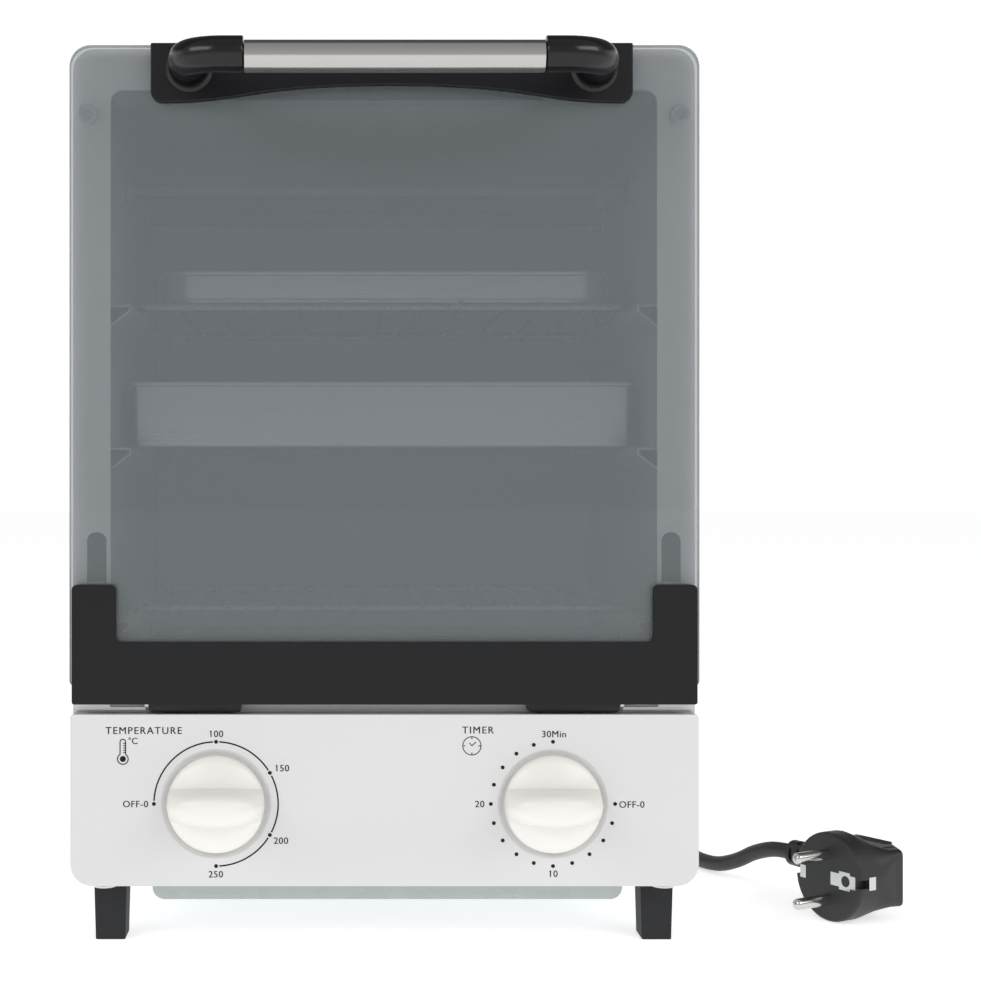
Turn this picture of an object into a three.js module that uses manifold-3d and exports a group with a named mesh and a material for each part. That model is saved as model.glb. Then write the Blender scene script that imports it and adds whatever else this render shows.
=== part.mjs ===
// Dry heat sterilizer: an upright bench chamber with a smoked glass door that drops open to the front.
// Millimetres. +Z up, the front faces -Y, +X is the right side seen from the front.
// The origin is the middle of the footprint, on the surface that the feet stand on.

import * as THREE from 'three';
import * as BufferGeometryUtils from 'three/addons/utils/BufferGeometryUtils.js';
import Module from 'manifold-3d';

const wasm = await Module();
wasm.setup();

// Clearances shared by many pieces
const seatGap = 0.3;
const cutOverrun = 1;
const weldTolerance = 1e-4;

// Case
const caseWidth = 249;
const caseHeight = 333.4;
const caseDepth = 216;
const caseCornerRadius = 8.5;
const sheetThickness = 1;
const footHeight = 24.6;

// Front frame
const frameSideBand = 15;
const sillAbovePanel = 7.4;
const frameTopBand = 16.3;
const mouthCornerRadius = 5;
const armSlotWidth = 7.8;
const armSlotHeight = 46;
const armSlotTopAboveHinge = 67.2;
const armSlotInset = 9.5;
const shaftHoleRadius = 6;

// Control panel
const panelProud = 8;
const panelWall = 2;
const panelHeight = 68;
const panelCornerRadius = 8.7;
const panelTopCornerRadius = 1.5;
const dishRadius = 21.8;
const dishDepth = 1.6;
const dishSlope = 1.8;
const panelScrewRadius = 5;
const panelScrewThickness = 1.1;
const panelScrewInset = 13;
const panelScrewSetback = 1.4;

// Knobs
const knobSpacing = 133.4;
const knobBelowPanelMiddle = 1.4;
const knobRadius = 19.2;
const knobSkirt = 4.4;
const knobHeight = 9.5;
const knobEdgeRound = 2.4;
const gripWidth = 14.6;
const gripEndWidth = 10.4;
const gripHeight = 19;
const gripEdgeRound = 1.6;
const shaftRadius = 3;
const shaftSocketDepth = 9;
const pointerWidth = 1.5;
const pointerHeight = 0.7;

// Thermostat and timer behind the panel
const controlBodyWidth = 34;
const controlBodyHeight = 30;
const controlBodyDepth = 24;
const controlNeckRadius = 5;
const controlNeckBore = 3.3;
const controlTerminalWidth = 6;
const controlTerminalDepth = 8;

// Door
const doorGap = 1;
const doorThickness = 8.4;
const hingeAbovePanel = 4.8;
const glassSideProud = 0.5;
const glassThickness = 4;
const glassSeatAboveHinge = 6.4;
const glassCornerRadius = 8.5;
const doorFrameSideStep = 0.8;
const doorFrameArm = 17.4;
const doorFrameBelowHinge = 0.7;
const doorFrameBarTop = 24;
const doorFrameArmTop = 46.6;
const doorFrameRound = 2;
const knuckleRadius = 4.2;
const knuckleWidth = 36.4;
const knuckleSideInset = 31.3;
const knuckleRound = 2;

// Door handle
const handleOffset = 2.8;
const bracketWidth = 190.4;
const bracketHeight = 23.6;
const bracketThickness = 3.2;
const bracketArch = 7;
const bracketArchInset = 38;
const bracketRound = 4.7;
const clampHalfWidth = 63.5;
const clampHeight = 17;
const clampThickness = 2;
const clampBelowGlass = 20.7;
const tubeRadius = 6.1;
const tubeHalfLength = 56.8;
const tubeBelowGlass = 13.4;
const tubeWall = 1;
const handleStandOff = 36;
const elbowRadius = 7;
const elbowBend = 15;
const elbowRise = 0.9;
const elbowFootRise = 3.2;
const elbowFootRadius = 9.4;
const elbowFootHeight = 3.2;
const elbowPlateShare = 1.5;
const elbowSleeve = 8;

// Hinges
const armThickness = 3;
const armMeanRadius = 38;
const armBandWidth = 11;
const armEndAngleShare = 0.55;
const armFootWidth = 6.8;
const armFootHeight = 19;
const armFootThickness = 2.4;
const springHoleRadius = 1.6;
const pinRadius = 1.3;
const pinLength = 22;
const pinSeatShare = 0.8;
const earThickness = 1.5;
const earRadius = 2.7;
const earLegWidth = 2.2;
const bracketFootWidth = 14;
const bracketFootHeight = 3;
const bracketFootThickness = 0.9;
const bracketStripHeight = 1.3;

// Bumpers between the front frame and the glass
const bumperRadius = 4;
const bumperInset = 6.2;
const bumperBelowCase = 26.4;
const bumperDimple = 1.4;
const bumperDimpleDepth = 0.7;

// Chamber
const chamberBackSpace = 28;
const wallSheet = 1;
const railReach = 8;
const railTip = 3;
const railSlope = 6;
const roofFrontLip = 12;
const roofFrontDrop = 4;
const roofBackDrop = 16.5;
const dividerSetback = 52;

// Heaters
const heaterRadius = 3.2;
const ceramicRadius = 5;
const ceramicFlangeRadius = 6.6;
const ceramicFlange = 2.4;
const ceramicReach = 5;
const lowerHeaterAboveSill = 12;
const upperHeaterBelowRoof = 31;
const lowerHeaterShares = [0.4255, 0.7979];
const upperHeaterShares = [0.298, 0.7234];

// Racks and trays: each level is a share of the chamber mouth's height above its sill
const bottomRackShare = 0.1303;
const lowerTrayShare = 0.4088;
const upperRackShare = 0.655;
const rackSideGap = 4;
const rackSetback = 33;
const rackFrameRadius = 2;
const rackRodRadius = 1.1;
const rackRodPitch = 17.2;
const rackCornerRadius = 7;
const trayRestGap = 0.3;
const lowerTraySetback = 27;
const lowerTrayWall = 28;
const traySheet = 0.8;
const lowerTrayDraft = 1.5;
const upperTraySideInset = 8;
const upperTrayEndInset = 9;
const upperTrayWall = 15;
const upperTrayRound = 16;
const upperTrayOffset = 2.5;
const trayStopGap = 3;

// Crumb tray under the base
const crumbTraySideBand = 35.5;
const crumbTrayBackGap = 18;
const crumbTrayWall = 3.6;
const crumbSheet = 0.8;
const crumbLipOverhang = 4.7;
const crumbLipHeight = 6.1;
const crumbLipRound = 4.7;
const crumbLipOffset = 1.3;
const crumbLipSetback = 2;
const runnerShelf = 5;
const runnerFlange = 7;
const runnerHeight = 6;
const runnerBackInset = 20;
const crumbOpeningInset = 7;

// Feet
const footWidth = 13.2;
const footDepth = 15;
const footTaper = 0.6;
const footInset = 7.7;
const footSetback = 5;
const footRearSetback = 8;
const footScrewHole = 3.6;
const footScrewRecess = 9;

// Vents and rear spacers
const ventLength = 26;
const ventHeight = 2.4;
const ventPitch = 7;
const ventRows = 5;
const sideVentSetback = 16;
const backVentColumns = 3;
const backVentSpacing = 44;
const spacerRadius = 9;
const spacerHeight = 6;
const spacerSpread = 150;
const spacerBelowCase = 60;

// Mains cord
const cordRadius = 3.5;
const glandSide = 62;
const glandAboveCase = 15.4;
const glandLength = 26;
const glandNoseRadius = 5;
const glandRootRadius = 6.6;
const glandFlangeRadius = 9;
const glandFlange = 2;
const glandRoot = 4;
const cordSides = 10;
const cordStepShare = 2.4;
const coilTurns = 2.5;
const coilStepsPerTurn = 24;
const coilSides = 6;
const coilMeanRadius = 41.5;
const coilPitch = 7.6;
const coilClimbShare = 0.5;
const coilPlace = [-2, 211.55];
const cordRestZ = 3.7;

// Route from the gland down to the bench and round to the coil
const leadRoute = [
  [62, 156.5, 40], [62, 161, 40], [62, 166, 40], [62, 174.8, 38.8], [62, 183, 35.1], [62, 189.8, 29.4],
  [62, 194.9, 21.8], [62, 200, 14.2], [62, 206.8, 8.5], [62, 215, 5], [62, 223.8, 3.8],
  [57.4, 240.8, 3.7], [45, 253.2, 3.7], [28, 257.8, 3.7], [14, 257.8, 3.7], [5.3, 257.8, 3.7],
];

// Route from the coil, behind the case and along its right side, to the plug
const tailRoute = [
  [5.3, 165.3, 11.3], [12, 165.3, 11.3], [22, 165.3, 11], [38, 165.4, 8.6], [56, 165.8, 5.2],
  [74, 166.2, 3.8], [92, 166.4, 3.7], [108, 166, 3.7], [125.6, 162.5, 3.7], [140.5, 152.5, 3.7],
  [150.5, 137.6, 3.7], [154, 120, 3.7], [153.2, 102, 3.7], [152.8, 86, 3.7], [153.8, 70, 3.7],
  [157.5, 53.5, 3.7], [162.5, 41.7, 4.9], [168.2, 31.4, 8.7], [174.1, 21.2, 14.4], [179.8, 11.3, 17.9],
  [184.2, 3.7, 18.7], [186, 0.6, 18.7],
];

// Plug, lying on its rim with its pins to the left
const plugPlace = [187.7, -50.3];
const plugYaw = Math.PI / 6;
const plugRadius = 18.7;
const plugRim = 13;
const plugDepth = 34.5;
const plugRearThickness = 24;
const plugRearShare = 0.9;
const plugChamfer = 9;
const plugGripDepth = 3.2;
const plugGripHeight = 22;
const plugCollarCentre = 24.3;
const plugCollarRadius = 8;
const plugCollarEnd = 20.6;
const pinSpread = 19;
const plugPinRadius = 2.4;
const plugPinLength = 19;
const plugPinTipShare = 0.6;
const plugPinSocket = 6;
const reliefLength = 24;
const reliefRibs = 4;
const reliefRibRadius = 6;
const reliefCoreRadius = 4.5;
const reliefTipRadius = 4.6;

const group = new THREE.Group();
group.name = 'dry_heat_sterilizer';

// Finishes
const finish = (color, roughness, metalness, extra = {}) =>
  new THREE.MeshStandardMaterial({ color, roughness, metalness, ...extra });
const whiteEnamel = finish(0xe4e4e4, 0.45, 0);
const blackPlastic = finish(0x1d1e20, 0.5, 0);
const glossBlack = finish(0x121314, 0.22, 0);
const ivoryPlastic = finish(0xf0eee8, 0.35, 0);
const smokedGlass = finish(0x6a6e73, 0.08, 0, { transparent: true, opacity: 0.55 });
const stainless = finish(0xb9bbbc, 0.25, 1);
const galvanised = finish(0xa9b3b5, 0.45, 0.8);
const zinc = finish(0x9fa3a4, 0.4, 0.9);
const chromedWire = finish(0xc9cbcd, 0.2, 1);
const heaterSheath = finish(0x5a5652, 0.5, 0.8);
const footRubber = finish(0x37383b, 0.75, 0);
const cordBlack = finish(0x1b1c1e, 0.6, 0);

// Shape and solid helpers
const alongY = (geometry) => geometry.rotateX(Math.PI / 2);
const yzxBasis = new THREE.Matrix4().set(0, 0, 1, 0, 1, 0, 0, 0, 0, 1, 0, 0, 0, 0, 0, 1);

/** Box between two corners. */
function block(low, high) {
  const [lowX, lowY, lowZ] = low;
  const [highX, highY, highZ] = high;
  const geometry = new THREE.BoxGeometry(highX - lowX, highY - lowY, highZ - lowZ);
  return geometry.translate((lowX + highX) / 2, (lowY + highY) / 2, (lowZ + highZ) / 2);
}

/** Closed outline through points, each a plain corner [x, y] or a rounded one [x, y, radius]. */
function outline(points, target = new THREE.Shape()) {
  points.forEach(([x, y, radius = 0], index) => {
    const before = points[(index + points.length - 1) % points.length];
    const after = points[(index + 1) % points.length];
    const corner = new THREE.Vector2(x, y);
    const back = new THREE.Vector2(before[0], before[1]).sub(corner).normalize();
    const ahead = new THREE.Vector2(after[0], after[1]).sub(corner).normalize();
    const trim = radius === 0 ? 0 : radius / Math.tan(Math.acos(back.dot(ahead)) / 2);
    const start = corner.clone().addScaledVector(back, trim);
    const end = corner.clone().addScaledVector(ahead, trim);
    if (index === 0) {
      target.moveTo(start.x, start.y);
    } else {
      target.lineTo(start.x, start.y);
    }
    if (radius > 0) {
      const middle = back.clone().add(ahead).normalize();
      const centre = corner.clone().addScaledVector(middle, Math.hypot(radius, trim));
      const from = Math.atan2(start.y - centre.y, start.x - centre.x);
      const to = Math.atan2(end.y - centre.y, end.x - centre.x);
      const clockwise = back.cross(ahead) > 0;
      target.absarc(centre.x, centre.y, radius, from, to, clockwise);
    }
  });
  target.closePath();
  return target;
}

/** Rectangle with one radius at its lower corners and one at its upper corners. */
function panelOutline(low, high, lowerRadius, upperRadius, target) {
  const corners = [
    [low[0], low[1], lowerRadius],
    [high[0], low[1], lowerRadius],
    [high[0], high[1], upperRadius],
    [low[0], high[1], upperRadius],
  ];
  return outline(corners, target);
}

/** Round hole as an outline of straight sides that stays clear of its radius. */
function roundHole(x, y, radius, sides = 16) {
  const reach = radius / Math.cos(Math.PI / sides);
  return new THREE.Path(Array.from({ length: sides }, (_, side) => {
    const angle = 2 * Math.PI * side / sides;
    return new THREE.Vector2(x + reach * Math.cos(angle), y + reach * Math.sin(angle));
  }));
}

/** Outline of a sheet that is bent along points, thick to the left of the way they run. */
function bentSheet(points, thickness) {
  const corners = points.map(([x, y]) => new THREE.Vector2(x, y));
  const normals = corners.slice(1).map((corner, index) => {
    const run = corner.clone().sub(corners[index]).normalize();
    return new THREE.Vector2(-run.y, run.x);
  });
  const offset = corners.map((corner, index) => {
    const before = normals[Math.max(index - 1, 0)];
    const after = normals[Math.min(index, normals.length - 1)];
    const miter = before.clone().add(after);
    return corner.clone().addScaledVector(miter, thickness / (1 + before.dot(after)));
  });
  return new THREE.Shape([...corners, ...offset.reverse()]);
}

/** Shape drawn in X and Z, pushed from yFront to yBack. */
function extrudeY(shape, yFront, yBack, curveSegments = 4) {
  const geometry = new THREE.ExtrudeGeometry(shape, {
    depth: yBack - yFront, bevelEnabled: false, curveSegments,
  });
  return alongY(geometry).translate(0, yBack, 0);
}

/** Shape drawn in Y and Z, pushed from xLeft to xRight. */
function extrudeX(shape, xLeft, xRight, curveSegments = 6) {
  const geometry = new THREE.ExtrudeGeometry(shape, {
    depth: xRight - xLeft, bevelEnabled: false, curveSegments,
  });
  return geometry.applyMatrix4(yzxBasis).translate(xLeft, 0, 0);
}

/** Shape drawn in X and Y, pushed from zLow to zHigh. */
function extrudeZ(shape, zLow, zHigh, curveSegments = 6) {
  const geometry = new THREE.ExtrudeGeometry(shape, {
    depth: zHigh - zLow, bevelEnabled: false, curveSegments,
  });
  return geometry.translate(0, 0, zLow);
}

/** Revolved profile of [radius, along] points, its axis turned to +Z. */
function turned(profile, segments = 24) {
  const points = profile.map(([radius, along]) => new THREE.Vector2(radius, along));
  return new THREE.LatheGeometry(points, segments).rotateX(Math.PI / 2);
}

/** Revolved profile whose axis points to the front, towards -Y. */
const turnedToFront = (profile, segments) => turned(profile, segments).rotateX(Math.PI / 2);

/** Revolved profile whose axis points to +X. */
const turnedToRight = (profile, segments) => turned(profile, segments).rotateY(Math.PI / 2);

/** Rod from one end to the other, its ends square. */
function rod(from, to, radius, sides = 8) {
  const start = new THREE.Vector3(...from);
  const run = new THREE.Vector3(...to).sub(start);
  const geometry = new THREE.CylinderGeometry(radius, radius, run.length(), sides);
  geometry.translate(0, run.length() / 2, 0);
  const up = new THREE.Vector3(0, 1, 0);
  geometry.applyQuaternion(new THREE.Quaternion().setFromUnitVectors(up, run.normalize()));
  return geometry.translate(start.x, start.y, start.z);
}

/** Rings of points joined side by side into one closed tube. */
function skinRings(rings) {
  const sides = rings[0].length;
  const positions = rings.flat().flatMap((point) => [point.x, point.y, point.z]);
  const index = [];
  for (let ring = 0; ring + 1 < rings.length; ring += 1) {
    for (let side = 0; side < sides; side += 1) {
      const next = (side + 1) % sides;
      const a = ring * sides + side;
      const b = ring * sides + next;
      index.push(a, b, a + sides, b, b + sides, a + sides);
    }
  }
  for (let side = 1; side + 1 < sides; side += 1) {
    const last = (rings.length - 1) * sides;
    index.push(0, side + 1, side, last, last + side, last + side + 1);
  }
  const geometry = new THREE.BufferGeometry();
  geometry.setAttribute('position', new THREE.Float32BufferAttribute(positions, 3));
  geometry.setIndex(index);
  return geometry;
}

/** Round tube along points, with a ring of points square to the way at each one. */
function tubeAlong(points, radiusAt, sides) {
  const up = new THREE.Vector3(0, 0, 1);
  const rings = points.map((point, index) => {
    const before = points[Math.max(index - 1, 0)];
    const after = points[Math.min(index + 1, points.length - 1)];
    const run = after.clone().sub(before).normalize();
    const across = new THREE.Vector3().crossVectors(up, run).normalize();
    const rise = new THREE.Vector3().crossVectors(run, across);
    return Array.from({ length: sides }, (_, side) => {
      const angle = 2 * Math.PI * (side + 0.5) / sides;
      const radius = radiusAt(index / (points.length - 1));
      return point.clone()
        .addScaledVector(across, radius * Math.cos(angle))
        .addScaledVector(rise, radius * Math.sin(angle));
    });
  });
  return skinRings(rings);
}

const toSolid = (geometry) => {
  const bare = geometry.clone();
  bare.deleteAttribute('normal');
  bare.deleteAttribute('uv');
  const merged = BufferGeometryUtils.mergeVertices(bare, weldTolerance);
  const triVerts = new Uint32Array(merged.index.array);
  const vertProperties = new Float32Array(merged.attributes.position.array);
  return new wasm.Manifold(new wasm.Mesh({ numProp: 3, vertProperties, triVerts }));
};
const toGeometry = (solid) => {
  const mesh = solid.getMesh();
  const geometry = new THREE.BufferGeometry();
  geometry.setAttribute('position', new THREE.Float32BufferAttribute(mesh.vertProperties, 3));
  geometry.setIndex(new THREE.Uint32BufferAttribute(mesh.triVerts, 1));
  return geometry;
};
const joined = (...geometries) =>
  toGeometry(geometries.map(toSolid).reduce((sum, solid) => sum.add(solid)));
const cut = (geometry, ...cutters) =>
  toGeometry(cutters.map(toSolid).reduce((left, solid) => left.subtract(solid), toSolid(geometry)));
const common = (first, second) => toGeometry(toSolid(first).intersect(toSolid(second)));

/** Named mesh in its parent group. */
function addPiece(name, geometry, material, parent = group) {
  const flat = geometry.index ? geometry.toNonIndexed() : geometry;
  flat.computeVertexNormals();
  const mesh = new THREE.Mesh(flat, material);
  mesh.name = name;
  parent.add(mesh);
  return mesh;
}

/** Mirror image of a geometry across the middle plane, its faces turned out again. */
function mirroredX(geometry) {
  const solid = toSolid(geometry);
  return toGeometry(solid.mirror([1, 0, 0]));
}

/** Left and right pieces from the geometry of the right one. */
function addPair(stem, rightGeometry, material, parent = group) {
  addPiece(`${stem}_left`, mirroredX(rightGeometry), material, parent);
  addPiece(`${stem}_right`, rightGeometry, material, parent);
}

// Places worked out from the sizes above
const caseHalf = caseWidth / 2;
const caseTop = footHeight + caseHeight;
const chamberHalfWidth = caseHalf - frameSideBand;
const chamberDepth = caseDepth - chamberBackSpace;
const doorReach = doorGap + doorThickness / 2;
const handleReach = doorReach + glassThickness / 2 + handleStandOff + elbowRadius;
const frontY = (handleReach - caseDepth - spacerHeight - seatGap) / 2;
const backY = frontY + caseDepth;
const panelFrontY = frontY - panelProud;
const hingeY = frontY - doorReach;
const hingeZ = footHeight + panelHeight + hingeAbovePanel;
const glassTopAboveHinge = caseTop - hingeZ;
const glassWidth = caseWidth + glassSideProud * 2;
const innerFrontY = frontY + sheetThickness + seatGap;
const innerBackY = backY - sheetThickness - seatGap;
const coverFlangeX = caseHalf - panelCornerRadius;
const sillZ = footHeight + panelHeight + sillAbovePanel;
const mouthTopZ = caseTop - frameTopBand;
const levelAt = (share) => sillZ + (mouthTopZ - sillZ) * share;
const bottomRackZ = levelAt(bottomRackShare);
const lowerTrayZ = levelAt(lowerTrayShare);
const upperRackZ = levelAt(upperRackShare);
const knobX = knobSpacing / 2;
const knobZ = footHeight + panelHeight / 2 - knobBelowPanelMiddle;
const slotX = caseHalf - armSlotInset;
const slotTopZ = hingeZ + armSlotTopAboveHinge;
const slotBottomZ = slotTopZ - armSlotHeight;
const baseTopZ = footHeight + sheetThickness;
const chamberBackY = frontY + chamberDepth;
const rackWidth = (chamberHalfWidth - rackSideGap) * 2;
const rackDepth = chamberDepth - trayStopGap - rackSetback;
const lowerTrayDepth = chamberDepth - trayStopGap - lowerTraySetback;
const upperTrayWidth = rackWidth - upperTraySideInset * 2;
const upperTrayDepth = rackDepth - upperTrayEndInset * 2;
const crumbTrayWidth = caseWidth - crumbTraySideBand * 2;
const runnerBackY = backY - runnerBackInset;

// Case
function makeFrontFrame() {
  const shape = panelOutline(
    [-caseHalf, footHeight], [caseHalf, caseTop], panelCornerRadius, caseCornerRadius);
  const mouth = panelOutline(
    [-chamberHalfWidth, sillZ], [chamberHalfWidth, mouthTopZ],
    mouthCornerRadius, mouthCornerRadius, new THREE.Path());
  shape.holes.push(mouth);
  for (const side of [-1, 1]) {
    const slot = panelOutline(
      [side * slotX - armSlotWidth / 2, slotBottomZ],
      [side * slotX + armSlotWidth / 2, slotTopZ],
      armSlotWidth / 2 - seatGap, armSlotWidth / 2 - seatGap, new THREE.Path());
    shape.holes.push(slot);
    shape.holes.push(roundHole(side * knobX, knobZ, shaftHoleRadius));
  }
  return extrudeY(shape, frontY, frontY + sheetThickness);
}
addPiece('front_frame', makeFrontFrame(), whiteEnamel);

function makeOuterCover() {
  const shape = new THREE.Shape();
  const topInner = caseCornerRadius - sheetThickness;
  const lowInner = panelCornerRadius - sheetThickness;
  const arcZ = caseTop - caseCornerRadius;
  const arcX = caseHalf - caseCornerRadius;
  const turnZ = footHeight + panelCornerRadius;
  shape.moveTo(-coverFlangeX, footHeight);
  shape.lineTo(-coverFlangeX, baseTopZ);
  shape.absarc(-coverFlangeX, turnZ, lowInner, 1.5 * Math.PI, Math.PI, true);
  shape.absarc(-arcX, arcZ, topInner, Math.PI, Math.PI / 2, true);
  shape.absarc(arcX, arcZ, topInner, Math.PI / 2, 0, true);
  shape.absarc(coverFlangeX, turnZ, lowInner, 0, -Math.PI / 2, true);
  shape.lineTo(coverFlangeX, footHeight);
  shape.absarc(coverFlangeX, turnZ, panelCornerRadius, -Math.PI / 2, 0, false);
  shape.absarc(arcX, arcZ, caseCornerRadius, 0, Math.PI / 2, false);
  shape.absarc(-arcX, arcZ, caseCornerRadius, Math.PI / 2, Math.PI, false);
  shape.absarc(-coverFlangeX, turnZ, panelCornerRadius, Math.PI, 1.5 * Math.PI, false);
  shape.closePath();
  const cover = extrudeY(shape, innerFrontY, innerBackY);
  const vents = [];
  for (let row = 0; row < ventRows; row += 1) {
    const low = footHeight + ventPitch * (row + 2);
    vents.push(block(
      [-caseHalf - cutOverrun, innerFrontY + sideVentSetback, low],
      [caseHalf + cutOverrun, innerFrontY + sideVentSetback + ventLength, low + ventHeight]));
  }
  return cut(cover, ...vents);
}
addPiece('outer_cover', makeOuterCover(), whiteEnamel);

function makeBackPanel() {
  const shape = panelOutline(
    [-caseHalf, footHeight], [caseHalf, caseTop], panelCornerRadius, caseCornerRadius);
  const vent = (x, z) => panelOutline(
    [x - ventLength / 2, z], [x + ventLength / 2, z + ventHeight],
    ventHeight / 3, ventHeight / 3, new THREE.Path());
  for (let column = 0; column < backVentColumns; column += 1) {
    const x = backVentSpacing * (column - (backVentColumns - 1) / 2);
    for (let row = 0; row < ventRows; row += 1) {
      shape.holes.push(vent(x, caseTop - spacerBelowCase - ventPitch * (row - ventRows / 2)));
    }
  }
  shape.holes.push(roundHole(glandSide, footHeight + glandAboveCase, glandRootRadius));
  return extrudeY(shape, backY - sheetThickness, backY, 2);
}
addPiece('back_panel', makeBackPanel(), whiteEnamel);

const crumbOpeningHalf = crumbTrayWidth / 2 - crumbOpeningInset;
function makeBasePlate() {
  const half = coverFlangeX - seatGap;
  const plate = block([-half, innerFrontY, footHeight], [half, innerBackY, baseTopZ]);
  const opening = block(
    [-crumbOpeningHalf, frontY + dividerSetback + seatGap + wallSheet * 2, footHeight - cutOverrun],
    [crumbOpeningHalf, chamberBackY - crumbOpeningInset, baseTopZ + cutOverrun]);
  return cut(plate, opening);
}
addPiece('base_plate', makeBasePlate(), galvanised);

function makeControlPanel() {
  const low = [-caseHalf, footHeight];
  const high = [caseHalf, footHeight + panelHeight];
  const shell = extrudeY(
    panelOutline(low, high, panelCornerRadius, panelTopCornerRadius), panelFrontY, frontY - seatGap);
  const hollowLow = [low[0] + panelWall, low[1] + panelWall];
  const hollowHigh = [high[0] - panelWall, high[1] - panelWall];
  const hollow = extrudeY(
    panelOutline(hollowLow, hollowHigh, panelCornerRadius - panelWall, panelTopCornerRadius / 2),
    panelFrontY + panelWall, frontY + cutOverrun);
  let panel = toSolid(shell).subtract(toSolid(hollow));
  for (const side of [-1, 1]) {
    const cupRadius = dishRadius + panelWall;
    const cup = turnedToFront([
      [0, 0], [cupRadius, 0], [cupRadius, dishDepth + panelWall / 2], [0, dishDepth + panelWall / 2],
    ]).translate(side * knobX, panelFrontY + panelWall / 2 + dishDepth + panelWall / 2, knobZ);
    const dish = turnedToFront([
      [0, 0], [dishRadius - dishSlope, 0], [dishRadius, dishDepth],
      [dishRadius, dishDepth + cutOverrun], [0, dishDepth + cutOverrun],
    ], 30).translate(side * knobX, panelFrontY + dishDepth, knobZ);
    const bore = turnedToFront([
      [0, 0], [shaftHoleRadius, 0], [shaftHoleRadius, panelProud], [0, panelProud],
    ]).translate(side * knobX, panelFrontY + panelProud - cutOverrun, knobZ);
    panel = panel.add(toSolid(cup)).subtract(toSolid(dish)).subtract(toSolid(bore));
  }
  return toGeometry(panel);
}
addPiece('control_panel', makeControlPanel(), whiteEnamel);

const panelScrew = turned([
  [0, 0], [panelScrewRadius - panelScrewThickness / 2, 0], [panelScrewRadius, panelScrewThickness / 2],
  [panelScrewRadius, panelScrewThickness], [0, panelScrewThickness],
], 14);
for (const [name, side] of [['left', -1], ['right', 1]]) {
  const screw = addPiece(`panel_screw_${name}`, panelScrew.clone(), whiteEnamel);
  screw.position.set(
    side * (caseHalf - panelScrewInset), frontY - panelScrewSetback,
    footHeight - seatGap - panelScrewThickness);
}

// Bumpers on the front frame, behind the glass
const bumperLength = doorReach - glassThickness / 2 - seatGap * 2;
const bumper = turnedToFront([
  [0, 0], [bumperRadius, 0], [bumperRadius, bumperLength - bumperDimpleDepth],
  [bumperRadius - bumperDimpleDepth, bumperLength], [bumperDimple, bumperLength],
  [bumperDimple, bumperLength - bumperDimpleDepth], [0, bumperLength - bumperDimpleDepth],
], 14);
for (const [name, side] of [['left', -1], ['right', 1]]) {
  const piece = addPiece(`door_bumper_${name}`, bumper.clone(), whiteEnamel);
  piece.position.set(
    side * (caseHalf - bumperInset), frontY - seatGap, caseTop - bumperBelowCase);
}

// Chamber sheets
const roofHalf = chamberHalfWidth - seatGap;
const roofLowZ = mouthTopZ + seatGap - roofFrontDrop;
const roofBackZ = roofLowZ - roofBackDrop;
const railTops = [bottomRackZ, upperRackZ].map((level) => level - rackFrameRadius - trayRestGap);
const trayRailTop = lowerTrayZ - trayRestGap;
const heaterSpots = [
  ...lowerHeaterShares.map((share) => [chamberDepth * share, sillZ + lowerHeaterAboveSill]),
  ...upperHeaterShares.map((share) => [chamberDepth * share, mouthTopZ - upperHeaterBelowRoof]),
];

function makeChamberWall() {
  const wallX = chamberHalfWidth;
  const tipX = wallX - railReach;
  const path = [[wallX, mouthTopZ + wallSheet]];
  for (const top of [railTops[1], trayRailTop, railTops[0]]) {
    path.push([wallX, top], [tipX, top], [tipX, top - railTip], [wallX, top - railTip - railSlope]);
  }
  path.push([wallX, baseTopZ + seatGap]);
  const sheet = extrudeY(bentSheet(path, wallSheet), innerFrontY, chamberBackY);
  const holes = heaterSpots.map(([place, z]) =>
    rod([wallX - cutOverrun, frontY + place, z], [wallX + wallSheet + cutOverrun, frontY + place, z],
      ceramicRadius + seatGap, 12));
  return cut(sheet, ...holes);
}
addPair('chamber_wall', makeChamberWall(), galvanised);

function makeChamberRoof() {
  const path = [
    [innerFrontY, mouthTopZ + seatGap],
    [innerFrontY + roofFrontLip, roofLowZ],
    [chamberBackY - seatGap, roofBackZ],
  ];
  return extrudeX(bentSheet(path, wallSheet), -roofHalf, roofHalf);
}
addPiece('chamber_roof', makeChamberRoof(), galvanised);
addPiece('chamber_back', block(
  [-chamberHalfWidth - wallSheet, chamberBackY + seatGap, baseTopZ + seatGap],
  [chamberHalfWidth + wallSheet, chamberBackY + seatGap + wallSheet, mouthTopZ + wallSheet]), galvanised);

function makeControlDivider() {
  const path = [
    [frontY + dividerSetback, baseTopZ + seatGap],
    [frontY + dividerSetback, sillZ - seatGap - wallSheet],
    [innerFrontY, sillZ - seatGap - wallSheet],
  ];
  return extrudeX(bentSheet(path.reverse(), wallSheet), -roofHalf, roofHalf);
}
addPiece('control_divider', makeControlDivider(), galvanised);

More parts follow.
